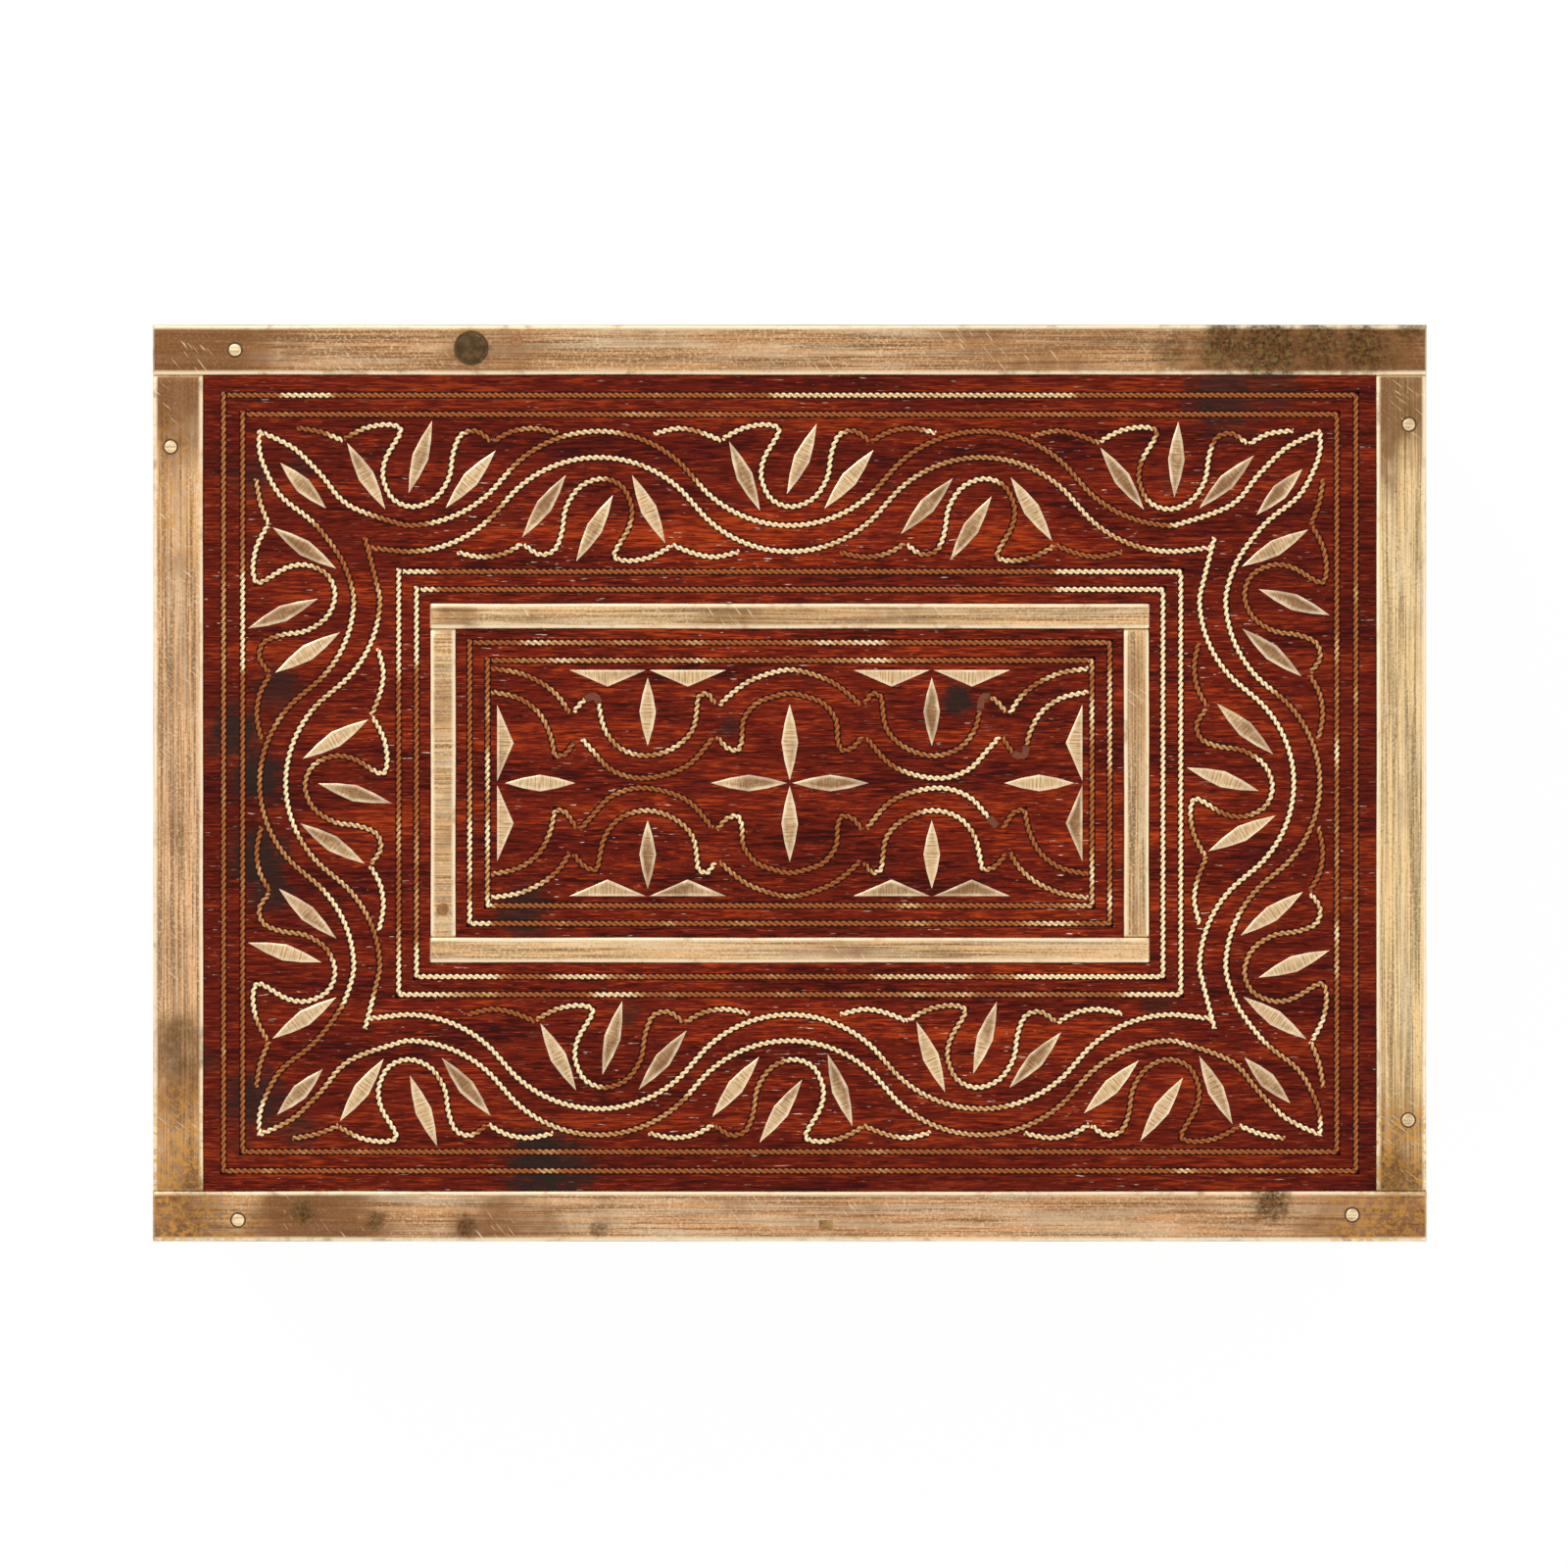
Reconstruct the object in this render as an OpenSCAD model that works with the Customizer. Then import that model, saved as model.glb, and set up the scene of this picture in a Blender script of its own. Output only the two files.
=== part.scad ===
// Inlaid wooden box. A hardwood box with a hinged lid, bound with flat brass
// strips and inlaid with twisted brass wire and small brass lozenges.
// The origin is the middle of the underside. +X is right, +Y is towards the
// hinges and +Z is up. All sizes are in millimetres.

/* [Box] */
// Width of the box over its wood, left to right
box_w = 200; // [190:1:225]
// Depth of the box over its wood, front to back
box_d = 144; // [136:1:165]
// Height of the closed box up to the wood of the lid
box_h = 82; // [72:1:110]
// Thickness of the lid board
lid_t = 11; // [9:0.5:16]
// Thickness of the four wall boards
wall_t = 9; // [8:0.5:12]
// Thickness of the bottom board
bottom_t = 8; // [6:0.5:12]
// How deep the front and back boards lap over the ends of the side boards
lap_d = 4.5; // [3:0.5:6]
// Gap of the seam between the lid and the walls
seam_gap = 0.3; // [0.25:0.05:0.6]

/* [Brass strips] */
// Width of the brass strips round the lid and on the walls
edge_w = 8; // [6.5:0.25:8.5]
// Width of the brass strips of the inner frame
frame_strip_w = 4.15; // [3:0.05:5]
// Distance from the vine band's middle line to the left and right of the inner frame
frame_in_x = 17.3; // [17:0.1:20]
// Distance from the vine band's middle line to the front and back of the inner frame
frame_in_y = 17.5; // [17.2:0.1:20]
// Thickness of all the brass strips
strip_t = 1.2; // [1:0.1:2]
// How far the strips stand proud of the wood
strip_proud = 0.3; // [0.1:0.05:0.5]
// Bevel along the edges of the strips
strip_bevel = 0.25; // [0.1:0.05:0.4]
// Diameter of the shanks of the brass pins
pin_d = 1.2; // [1:0.1:1.6]
// Diameter of the heads of the brass pins
pin_head_d = 2.15; // [1.8:0.05:2.6]
// Length of the brass pins under their heads
pin_l = 6; // [4:0.5:7]

/* [Twisted wire] */
// Width of the twisted wire
wire_w = 1.05; // [0.8:0.05:1.2]
// Depth of the twisted wire
wire_h = 1.3; // [1:0.1:1.8]
// How far the twisted wire stands proud of the wood
wire_proud = 0.15; // [0.05:0.05:0.3]
// Distance from the edge of a board to the outer border rope
rope_in = 11.1; // [10.2:0.1:12]
// Distance between the two ropes of the border
rope_gap = 3; // [2:0.1:3.4]
// Distance from the inner frame to the nearer rope beside it
frame_rope_near = 2.1; // [1.6:0.1:2.4]
// Distance from the inner frame to the further rope beside it
frame_rope_far = 4.9; // [4:0.1:5]

/* [Vine and lozenges] */
// Distance from the edge of the lid to the middle line of the vine band
band_in = 26.2; // [26:0.1:27]
// Half of the height of the vine's wave
vine_rise = 7.4; // [6.8:0.1:7.6]
// Distance between the two wires of the vine
vine_gap = 4.1; // [3.6:0.1:4.4]
// Length of a lozenge
petal_l = 12; // [9:0.1:12.2]
// Width of a lozenge
petal_w = 2.6; // [1.8:0.1:2.9]
// Thickness of the sheet that the lozenges are cut from
petal_t = 0.9; // [0.6:0.1:1.4]
// How far the lozenges stand proud of the wood
petal_proud = 0.06; // [0.02:0.02:0.1]

/* [Hinges] */
// Distance of each hinge from the middle of the box
hinge_x = 50; // [35:1:70]
// Length of a hinge
hinge_l = 27; // [20:1:36]
// Diameter of the hinge barrel
barrel_d = 4.4; // [3.6:0.1:4.8]
// Diameter of the hinge pin
hinge_pin_d = 2; // [1.4:0.1:2.4]
// Radial play of the hinge pin in its knuckles
pin_play = 0.05; // [0.03:0.01:0.08]
// Thickness of the hinge leaves
leaf_t = 1.2; // [1:0.1:1.3]
// How far back the lid leans when its bevel stops it, in degrees
lid_stop = 105; // [95:1:110]

/* [Lock] */
// Distance of the lock to the right of the middle
lock_x = 5.7; // [-10:0.1:10]
// Width of the lock case
lock_w = 30; // [28:1:40]
// Height of the lock case
lock_h = 20; // [19.5:0.5:24]
// Thickness of the lock case
lock_t = 6.4; // [6:0.1:6.8]
// How far the bolt is thrown
bolt_throw = 4; // [3.5:0.25:5]
// Width of the staple's plate, let into the underside of the lid
staple_w = 22; // [18:1:26]
// Distance of the staple's tang from the front edge of the lid
tang_in = 2.6; // [2.2:0.1:3]
// Width of the keyhole plate
plate_w = 9; // [8:0.5:12]
// Height of the keyhole plate
plate_h = 13; // [12.5:0.5:16]

/* [Hidden] */

fit = 0.03;                 // clearance of inlay in its groove, each side
butt = 0.1;                 // gap between the two ends of a rope that goes right round
cut = 1;                    // how far a cutter runs past the face it cuts
wood = "#6b2114";
brass = "#c09a63";
bright = "#dcc48c";
iron = "#4b4030";

lid_z = box_h - lid_t;                  // underside of the lid
wall_top = lid_z - seam_gap;            // top edge of the walls
strip_in = strip_t - strip_proud;       // depth that a strip is let into the wood
axis_y = box_d / 2 - barrel_d / 2 - 0.25;
axis_z = wall_top + seam_gap / 2;
bx = box_w / 2 - band_in;               // middle line of the vine band
by = box_d / 2 - band_in;
turn_x = (bx - 13.7) / 2;               // distance between the vine's turns
turn_y = by - 16.8;
frame_w = 2 * (bx - frame_in_x);        // the inner frame over its strips
frame_d = 2 * (by - frame_in_y);
field_x = frame_w / 2 - frame_strip_w - frame_rope_far;
field_y = frame_d / 2 - frame_strip_w - frame_rope_far;
lock_y = -box_d / 2 + wall_t;           // inner face of the front board

// ---------------------------------------------------------------- plane curves

function unit(v) = v / norm(v);
function left_of(v) = [-v[1], v[0]];
function flip_x(pts) = [for (p = pts) [-p[0], p[1]]];
function flip_y(pts) = [for (p = pts) [p[0], -p[1]]];
function turned_back(pts) = [for (i = [len(pts) - 1:-1:0]) pts[i]];
function shifted(pts, v) = [for (p = pts) p + v];
function stretched(pts, sx, sy) = [for (p = pts) [p[0] * sx, p[1] * sy]];

// A smooth line through pts, with a point about every step
function smooth(pts, step) = [
    for (i = [0:len(pts) - 2])
        let (a = pts[max(i - 1, 0)], b = pts[i], c = pts[i + 1],
             d = pts[min(i + 2, len(pts) - 1)], n = ceil(norm(c - b) / step))
        for (k = [0:n - 1])
            let (t = k / n)
            b + ((c - a) * t + (2 * a - 5 * b + 4 * c - d) * t * t
                 + (3 * b - a - 3 * c + d) * t * t * t) / 2,
    pts[len(pts) - 1]
];

// One swing of the vine from turn p to turn q: two equal arcs, both ends along u
function swing(p, q, u, step) =
    let (run = (q - p) * u, rise = (q - p) * left_of(u),
         bend = 2 * atan(abs(rise) / run), r = run / 2 / sin(bend),
         side = left_of(u) * sign(rise), n = ceil(r * bend * PI / 180 / step),
         arc = [for (k = [0:n]) u * r * sin(bend * k / n) + side * r * (1 - cos(bend * k / n))])
    concat([for (k = [0:n]) p + arc[k]], [for (k = [n - 1:-1:1]) q - arc[k]]);

// The outline of a band of width w along pts, mitred at its bends, that runs on past
// both of its ends by over
function ribbon(pts, w, over = 0) =
    let (n = len(pts), way = [for (i = [0:n - 2]) unit(pts[i + 1] - pts[i])],
         line = [for (i = [0:n - 1])
             pts[i] + (i == 0 ? -over * way[0] : i == n - 1 ? over * way[n - 2] : [0, 0])],
         side = [for (i = [0:n - 1])
             let (u = left_of(way[max(i - 1, 0)]), v = left_of(way[min(i, n - 2)]))
             (u + v) / (1 + u * v) * w / 2])
    concat([for (i = [0:n - 1]) line[i] + side[i]],
           [for (i = [n - 1:-1:0]) line[i] - side[i]]);

// A rope laid round a rectangle. Its ends butt at the upper left corner
function rope_round(hx, hy) = [
    [-hx + wire_w / 2 + butt, hy], [hx, hy], [hx, -hy], [-hx, -hy], [-hx, hy + wire_w / 2]
];

// ---------------------------------------------------------------- inlay of the lid

vine_step = 3;
curl_step = 1.7;

// The corner of the vine's outer wire, from the last turn of the long side to its tip
outer_corner_long = [[-4.6, -2.2], [-0.3, 2.5], [4.1, 6.8], [8.3, 8.9]];
// and from its tip to the first turn of the short side
outer_corner_short = [[-3.7, -11.2], [0.8, -5.1], [6.3, -0.5], [9.2, 5.2], [9.5, 8.2]];
inner_corner = [-8.1, -8.9];

function vine_long_half(lift, corner) = smooth(concat(
    swing([0, by + lift - vine_rise], [turn_x, by + lift + vine_rise], [1, 0], vine_step),
    swing([turn_x, by + lift + vine_rise], [2 * turn_x, by + lift - vine_rise], [1, 0], vine_step),
    [[2 * turn_x, by + lift - vine_rise]], shifted(corner, [bx, by])), vine_step);
function vine_short_half(lift, corner) = smooth(concat(
    swing([bx + lift + vine_rise, 0], [bx + lift - vine_rise, turn_y], [0, 1], vine_step),
    [[bx + lift - vine_rise, turn_y]], shifted(corner, [bx, by])), vine_step);
function joined(half, other) = concat(turned_back(other), [for (i = [1:len(half) - 1]) half[i]]);

// The four lengths of each wire of the vine
function vine_wires(lift, long_corner, short_corner) =
    let (long_half = vine_long_half(lift, long_corner),
         short_half = vine_short_half(lift, short_corner),
         long = joined(long_half, flip_x(long_half)), short = joined(short_half, flip_y(short_half)))
    [long, flip_y(long), short, flip_x(short)];
function vine_outer() = vine_wires(vine_gap / 2, outer_corner_long, outer_corner_short);
function vine_inner() =
    vine_wires(-vine_gap / 2, [inner_corner + [-1.2, -0.1]], [inner_corner + [1, 1.7]]);

// One palmette about its own axis, which opens upwards: a tendril, the loop and
// another tendril, each bent from its own length of wire. It is drawn for turns of
// the vine that stand drawn_x apart along the long sides and drawn_y along the short
// ones, and is bent narrower where they stand closer
drawn_x = 30.05;
drawn_y = 29;
tendril_left = [[-12.1, 10.6], [-14.9, 11.7], [-18.2, 12.3], [-21.6, 11.6]];
tendril_right = [[12.5, 10.5], [14.9, 11.8], [18.4, 12.3], [21.6, 11.7]];
function shortened(pts) = [for (i = [0:len(pts) - 2]) pts[i]];
loop = [
    [-10.9, 10.9], [-8.2, 12.3], [-4.8, 12.9], [-2.5, 12.3], [-3.2, 10.4], [-4.7, 7.9], [-5.3, 4.8],
    [-3.8, 1.3], [-0.6, 0], [2.9, 1.3], [5.1, 4.6], [5.7, 8.2], [6.9, 11.2], [9.3, 11.9], [11.2, 10.7]
];
// Where the three lozenges of a palmette stand
petal_at = [[-7.9, 4.8], [0.6, 7.8], [8.5, 4.3]];
loop_out = 2.4;     // how far inside the band's middle line a loop begins that opens outwards
loop_in = 2;        // and how far outside it one begins that opens inwards

// Each palmette: where it stands, how it is turned, whether it is mirrored, how its
// three lozenges lean, which of its tendrils a corner cuts short (-1 the left one) and
// how far its middle lozenge stands from its usual place
palmettes = [
    [[-2 * turn_x + 1.5, by - loop_out], 0, 0, [-30, 18, 41], -1, [0, 0]],
    [[-turn_x, by + loop_in], 180, 0, [-26, 29, 35], 0, [0, 0]],
    [[0.8, by - loop_out], 0, 0, [-24, 23, 40], 0, [0.5, -0.3]],
    [[turn_x, by + loop_in], 180, 0, [-33, 33, 43], 0, [1, 0]],
    [[2 * turn_x, by - loop_out - 0.4], 0, 0, [-35, 3, 46], 1, [0, 0]],
    [[bx - loop_out, turn_y], -90, 0, [-29, 20, 39], -1, [0, 0]],
    [[bx + loop_in, 0], 90, 0, [-28, 18, 42], 0, [0, 0]],
    [[bx - loop_out, -turn_y], -90, 1, [-34, 21, 35], -1, [0, 0]],
    [[2 * turn_x - 1.1, loop_out - by], 180, 0, [-26, 34, 46], -1, [0, 0]],
    [[turn_x, -by - loop_in], 0, 0, [-22, 18, 43], 0, [0, 0]],
    [[0, loop_out - by], 180, 0, [-19, 34, 38], 0, [0.8, 0.3]],
    [[-turn_x + 1.6, -by - loop_in], 0, 0, [-28, 15, 39], 0, [0, 0]],
    [[-2 * turn_x + 0.8, loop_out - by], 180, 1, [-35, 21, 40], -1, [1.2, 0.3]],
    [[loop_out - bx, -turn_y], 90, 0, [-33, 15, 41], -1, [1.8, 0.1]],
    [[-bx - loop_in - 0.3, -1.0], -90, 0, [-31, 15, 32], 0, [0, 0]],
    [[loop_out - bx, turn_y], 90, 1, [-33, 23, 32], -1, [1.8, 0.4]]
];
corner_petal_at = [2.6, 0.9];       // from the crossing of the band's middle lines
// The lozenge of each corner: its corner, and how far it stands from its usual place
corner_petals = [[-1, 1, [0, 0]], [1, 1, [0.5, -1]], [-1, -1, [-0.5, -1.8]], [1, -1, [-1.4, 0]]];
function narrowed(p) = min(1, p[1] % 180 == 0 ? turn_x / drawn_x : turn_y / drawn_y);

// A quarter of the field's two scrolls, drawn for a field of scroll_x by scroll_y,
// each in lengths that end at its sharp bends. The first length of each starts at
// the middle of the field and is bent in one piece with its mirror image.
scroll_x = 47.45;
scroll_y = 19.25;
scroll_outer = [
    [[0, 17.8], [-5.5, 16.4], [-8.6, 14.5], [-10.6, 12.7]],
    [[-12.1, 13], [-13, 14.1], [-14.3, 13.6], [-15.2, 8.5], [-18.3, 5.5], [-22.5, 4.3],
     [-26.5, 5.4], [-29, 8.3], [-29.9, 11.8], [-30.4, 13.6], [-32.2, 13.1], [-33.5, 11.7]],
    [[-34.9, 11.5], [-36, 13.2], [-38.3, 15.3], [-42.2, 17.2], [-46.2, 17.9]]
];
scroll_inner = [
    [[0, 14.1], [-1.8, 13.8], [-5.3, 12.5], [-7.3, 9.8], [-7.5, 6.8], [-8.3, 5.1], [-9.8, 5.5], [-11, 6.8]],
    [[-12.5, 6.6], [-15.6, 3.1], [-19.6, 1.3], [-24.2, 0.8], [-28.2, 2.2], [-30.8, 4.9], [-32.5, 6.8]],
    [[-33.8, 6.6], [-35.3, 4.5], [-36.8, 4.3], [-37.5, 7.3], [-39.3, 10.9], [-42.5, 13.3], [-46.2, 14.2]]
];
function scroll_lengths() = concat(
    [for (part = [scroll_outer[0], scroll_inner[0]]) joined(part, flip_x(part))],
    [for (s = [scroll_outer, scroll_inner], i = [1, 2]) s[i]],
    [for (s = [scroll_outer, scroll_inner], i = [1, 2]) flip_x(s[i])]);

module wire_bands(wires, grow = 0) {
    for (w = wires) polygon(ribbon(w, wire_w + 2 * grow, grow));
}

// A flat shape let into the face at z = 0, proud of it by a little. With grow it is
// the cutter of its own groove
module sunk(depth, proud, grow) {
    translate([0, 0, -depth + proud - grow])
        linear_extrude(grow > 0 ? depth - proud + grow + cut : depth) children();
}

// Ropes that go right round, each in a groove that is a closed ring
module rope_rounds(sizes, grow = 0) {
    wide = (wire_w + 2 * grow) * [1, 1];
    sunk(wire_h, wire_proud, grow) for (s = sizes)
        if (grow > 0) difference() {
            square(2 * s + wide, center = true);
            square(2 * s - wide, center = true);
        } else polygon(ribbon(rope_round(s[0], s[1]), wire_w));
}

module lid_edge_rope_inlay(grow = 0) {
    rope_rounds([for (k = [0, 1])
        [box_w / 2 - rope_in - k * rope_gap, box_d / 2 - rope_in - k * rope_gap]], grow);
}

module outside_rope_inlay(grow = 0) {
    rope_rounds([for (k = [frame_rope_near, frame_rope_far]) [frame_w / 2 + k, frame_d / 2 + k]], grow);
}

module inside_rope_inlay(grow = 0) {
    rope_rounds([for (k = [frame_rope_near, frame_rope_far])
        [frame_w / 2 - frame_strip_w - k, frame_d / 2 - frame_strip_w - k]], grow);
}

module vine_inlay(wires, grow = 0) {
    sunk(wire_h, wire_proud, grow) wire_bands(wires, grow);
}

module at_palmette(p) {
    translate(p[0]) rotate(p[1]) mirror([p[2], 0, 0]) children();
}

module palmette_inlay(grow = 0) {
    for (p = palmettes) sunk(wire_h, wire_proud, grow) at_palmette(p)
        wire_bands([for (part = [p[4] < 0 ? shortened(tendril_left) : tendril_left, loop,
                                 p[4] > 0 ? shortened(tendril_right) : tendril_right])
            smooth(stretched(part, narrowed(p), 1), curl_step)], grow);
}

module petal(l, w, grow = 0) {
    bow = 0.62;             // its half width a quarter of the way along
    h = w / 2 + grow;
    e = l / 2 + grow * l / w;
    polygon([[0, e], [-h * bow, e / 2], [-h, 0], [-h * bow, -e / 2],
             [0, -e], [h * bow, -e / 2], [h, 0], [h * bow, e / 2]]);
}

module half_petal(l, grow = 0) {
    polygon([[-l / 2 - 3 * grow, -grow], [l / 2 + 3 * grow, -grow], [0, petal_w + grow]]);
}

module vine_petal_inlay(grow = 0) {
    for (p = palmettes) sunk(petal_t, petal_proud, grow) at_palmette(p)
        for (i = [0:2]) translate([petal_at[i][0] * narrowed(p), petal_at[i][1]] + (i == 1 ? p[5] : [0, 0]))
            rotate(-p[3][i]) petal(petal_l * narrowed(p), petal_w * narrowed(p), grow);
    for (c = corner_petals) sunk(petal_t, petal_proud, grow)
        translate([c[0] * (bx + corner_petal_at[0]), c[1] * (by + corner_petal_at[1])] + c[2])
            rotate(-45 * c[0] * c[1]) petal(0.85 * petal_l, petal_w, grow);
}

module scroll_inlay(grow = 0) {
    for (sy = [-1, 1]) sunk(wire_h, wire_proud, grow)
        wire_bands([for (part = scroll_lengths())
            smooth(stretched(part, field_x / scroll_x, sy * field_y / scroll_y), curl_step)], grow);
}

cup_x = 22.3;       // from the middle of the field to the middle of a cup of the scroll
cup_petal_y = 11.2;
end_petal_x = 39.2; // from the middle of the field to the middle of a lozenge at its end
petal_apart = 0.4;  // from the middle of the field to the tip of each lozenge round it
petal_x = petal_l * min(1, field_x / scroll_x);     // a lozenge that lies along the field
petal_y = petal_l * min(1, field_y / scroll_y);     // and one that stands across it
function in_field(x, y) = [x * field_x / scroll_x, y * field_y / scroll_y];

module field_petal_inlay(grow = 0) {
    for (a = [0:90:270]) let (l = a % 180 == 0 ? petal_y : petal_x) sunk(petal_t, petal_proud, grow)
        rotate(a) translate([0, l / 2 + petal_apart]) petal(l, petal_w, grow);
    for (s = [-1, 1]) sunk(petal_t, petal_proud, grow)
        translate(in_field(end_petal_x * s, 0)) rotate(90) petal(0.92 * petal_x, petal_w, grow);
    for (sx = [-1, 1], sy = [-1, 1]) sunk(petal_t, petal_proud, grow)
        translate(in_field(sx * cup_x, sy * cup_petal_y)) petal(0.9 * petal_y, petal_w, grow);
}

module field_half_petal_inlay(grow = 0) {
    edge = 1.5;             // between the flat sides and the rope
    apart = 0.3;            // from the middle of a pair to the tip of each
    for (sx = [-1, 1], sy = [-1, 1], k = [-1, 1]) sunk(petal_t, petal_proud, grow)
        translate([sx * (cup_x * field_x / scroll_x + k * (petal_x / 2 + apart)), sy * (field_y - edge)])
            rotate(sy > 0 ? 180 : 0) half_petal(petal_x, grow);
    for (sx = [-1, 1], k = [-1, 1]) sunk(petal_t, petal_proud, grow)
        translate([sx * (field_x - edge), k * (petal_y / 2 + apart)]) rotate(sx * 90)
            half_petal(petal_y, grow);
}

// ---------------------------------------------------------------- brass strips

// A strip from [0, 0] to [l, w], let into the face at z = 0, with bevelled edges
module strip(l, w) {
    b = strip_bevel;
    translate([0, 0, -strip_in]) rotate([90, 0, 90]) linear_extrude(l)
        polygon([[0, 0], [w, 0], [w, strip_t - b], [w - b, strip_t], [b, strip_t], [0, strip_t - b]]);
}

module strip_pocket(l, w) {
    translate([-fit, -fit, -strip_in]) cube([l + 2 * fit, w + 2 * fit, strip_in + cut]);
}

module on_lid() {
    translate([0, 0, box_h]) children();
}

// The face of a wall as a plane: 0 front, 1 right, 2 back, 3 left. Its x runs along
// the wall, its y up from the underside and its z out of the box
module on_wall(n) {
    rotate([0, 0, 90 * n]) translate([0, -(n % 2 == 0 ? box_d : box_w) / 2, 0]) rotate([90, 0, 0])
        children();
}

// One of the four strips round a rectangle of w by d. The front and back ones run
// the whole way and the side ones stand between them
module strip_beside(side, w, d, strip_w, pocket) {
    along = side == "front" || side == "back";
    l = along ? w : d - 2 * strip_w - 2 * fit;
    turn = side == "front" ? 0 : side == "right" ? 90 : side == "back" ? 180 : 270;
    rotate(turn) translate([-l / 2, -(along ? d : w) / 2, 0])
        if (pocket) strip_pocket(l, strip_w); else strip(l, strip_w);
}

module lid_strip(side, pocket = false) {
    strip_beside(side, box_w, box_d, edge_w, pocket);
}

module frame_strip(side, pocket = false) {
    strip_beside(side, frame_w, frame_d, frame_strip_w, pocket);
}

function wall_l(n) = n % 2 == 0 ? box_w + 2 * strip_proud : box_d - 2 * strip_in - 2 * fit;
// The back wall's upper rail stays below the bevel that the lid leans on
function rail_top(n) = n == 2 ? wall_top - bevel_h - 0.3 : wall_top;

module wall_rails(n, pocket = false) {
    l = wall_l(n);
    for (z = [0, rail_top(n) - edge_w]) translate([-l / 2, z, 0])
        if (pocket) strip_pocket(l, edge_w); else strip(l, edge_w);
}

module wall_posts(n, pocket = false) {
    l = wall_l(n);
    tall = rail_top(n) - 2 * edge_w - 2 * fit;
    for (x = [-l / 2 + edge_w, l / 2]) translate([x, edge_w + fit, 0]) rotate(90)
        if (pocket) strip_pocket(tall, edge_w); else strip(tall, edge_w);
}

module wall_ropes(n, grow = 0) {
    hx = (n % 2 == 0 ? box_w : box_d) / 2;
    low = rope_in;
    high = rail_top(n) - rope_in;
    difference() {
        for (k = [0, rope_gap]) translate([0, (low + high) / 2, 0])
            rope_rounds([[hx - rope_in - k, (high - low) / 2 - k]], grow);
        if (n == 0) translate([lock_x, wall_top - edge_w - plate_h / 2, 0])
            cube([plate_w + 0.4 - 2 * grow, plate_h + 0.4, 10], center = true);
    }
}

// ---------------------------------------------------------------- pins and screws

lid_pin_at = [
    [-box_w / 2 + 12.9, box_d / 2 - 4], [-box_w / 2 + 2.8, box_d / 2 - 19.2],
    [box_w / 2 - 2.8, box_d / 2 - 15.7], [box_w / 2 - 2.9, 19.1 - box_d / 2],
    [-box_w / 2 + 13.4, 3.4 - box_d / 2], [box_w / 2 - 11.7, 4.2 - box_d / 2],
    [7.1 - hinge_x, box_d / 2 - 2.6], [2 - frame_w / 2, 8.5 - frame_d / 2]
];

pin_head_sunk = 0.4;    // how far a pin's head goes into the strip
pin_head_proud = 0.1;   // and how far it stands above it
module pin(grow = 0) {
    translate([0, 0, -pin_l]) cylinder(d = pin_d + 2 * grow, h = pin_l + strip_proud, $fn = 12);
    translate([0, 0, -pin_head_sunk]) cylinder(d = pin_head_d + 2 * grow,
        h = pin_head_sunk + strip_proud + pin_head_proud + grow, $fn = 12);
}

module lid_pins(grow = 0) {
    for (p = lid_pin_at) translate(p) pin(grow);
}

rail_pin_in = 14;       // from the end of a rail to its pin
post_pin_up = 9;        // from the end of a post to its pin
post_pin_step = 4;      // keeps the pins of two walls apart where they meet
module wall_pins(n, grow = 0) {
    l = wall_l(n) / 2;
    up = edge_w + post_pin_up + (n % 2) * post_pin_step;
    for (s = [-1, 1], z = [edge_w / 2, rail_top(n) - edge_w / 2])
        translate([s * (l - rail_pin_in), z, 0]) pin(grow);
    for (s = [-1, 1], z = [up, wall_top - up]) translate([s * (l - edge_w / 2), z, 0]) pin(grow);
}

plug_d = 5;
plug_l = 3;
plug_in = 3.7;          // from the back edge of the lid to the plug's middle
plug_sunk = 0.05;       // how far its head stays below the strip's face
module plug(grow = 0) {
    translate([-hinge_x, box_d / 2 - plug_in, -plug_l]) cylinder(d = plug_d + 2 * grow,
        h = plug_l + strip_proud - plug_sunk + (grow > 0 ? cut : 0), $fn = 12);
}

screw_l = 6;
screw_d = 1.7;
screw_head_d = 3.2;
screw_head_h = 0.7;
// A countersunk screw with its head flush at z = 0, pointing up
module screw(grow = 0) {
    translate([0, 0, -grow]) cylinder(d = screw_head_d + 2 * grow, h = screw_head_h + grow, $fn = 12);
    cylinder(d = screw_d + 2 * grow, h = screw_l, $fn = 12);
}

// ---------------------------------------------------------------- hinges

bevel_in = box_d / 2 - axis_y;                  // depth of the bevels along the back seam
bevel_h = bevel_in * tan(lid_stop / 2);
leaf_y = box_d / 2 - wall_t + 0.5;              // front edge of the leaves
knuckle_gap = 0.2;
knuckle_l = (hinge_l - 2 * knuckle_gap) / 3;
relief = 0.35;                                  // room round the barrel in the wood

// The back edge's bevel, cut above or below the seam
module back_bevel(up) {
    z = up > 0 ? lid_z : wall_top;
    translate([box_w / 2 + cut, 0, z]) rotate([90, 0, -90]) linear_extrude(box_w + 2 * cut)
        polygon([[-axis_y, 0], [-axis_y, -up * cut], [-box_d / 2 - cut, -up * cut],
                 [-box_d / 2 - cut, up * (bevel_h + cut * tan(lid_stop / 2))]]);
}

module knuckles(starts, r) {
    for (x = starts) translate([x, axis_y, axis_z]) rotate([0, 90, 0])
        cylinder(r = r, h = knuckle_l, $fn = 48);
}

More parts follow.
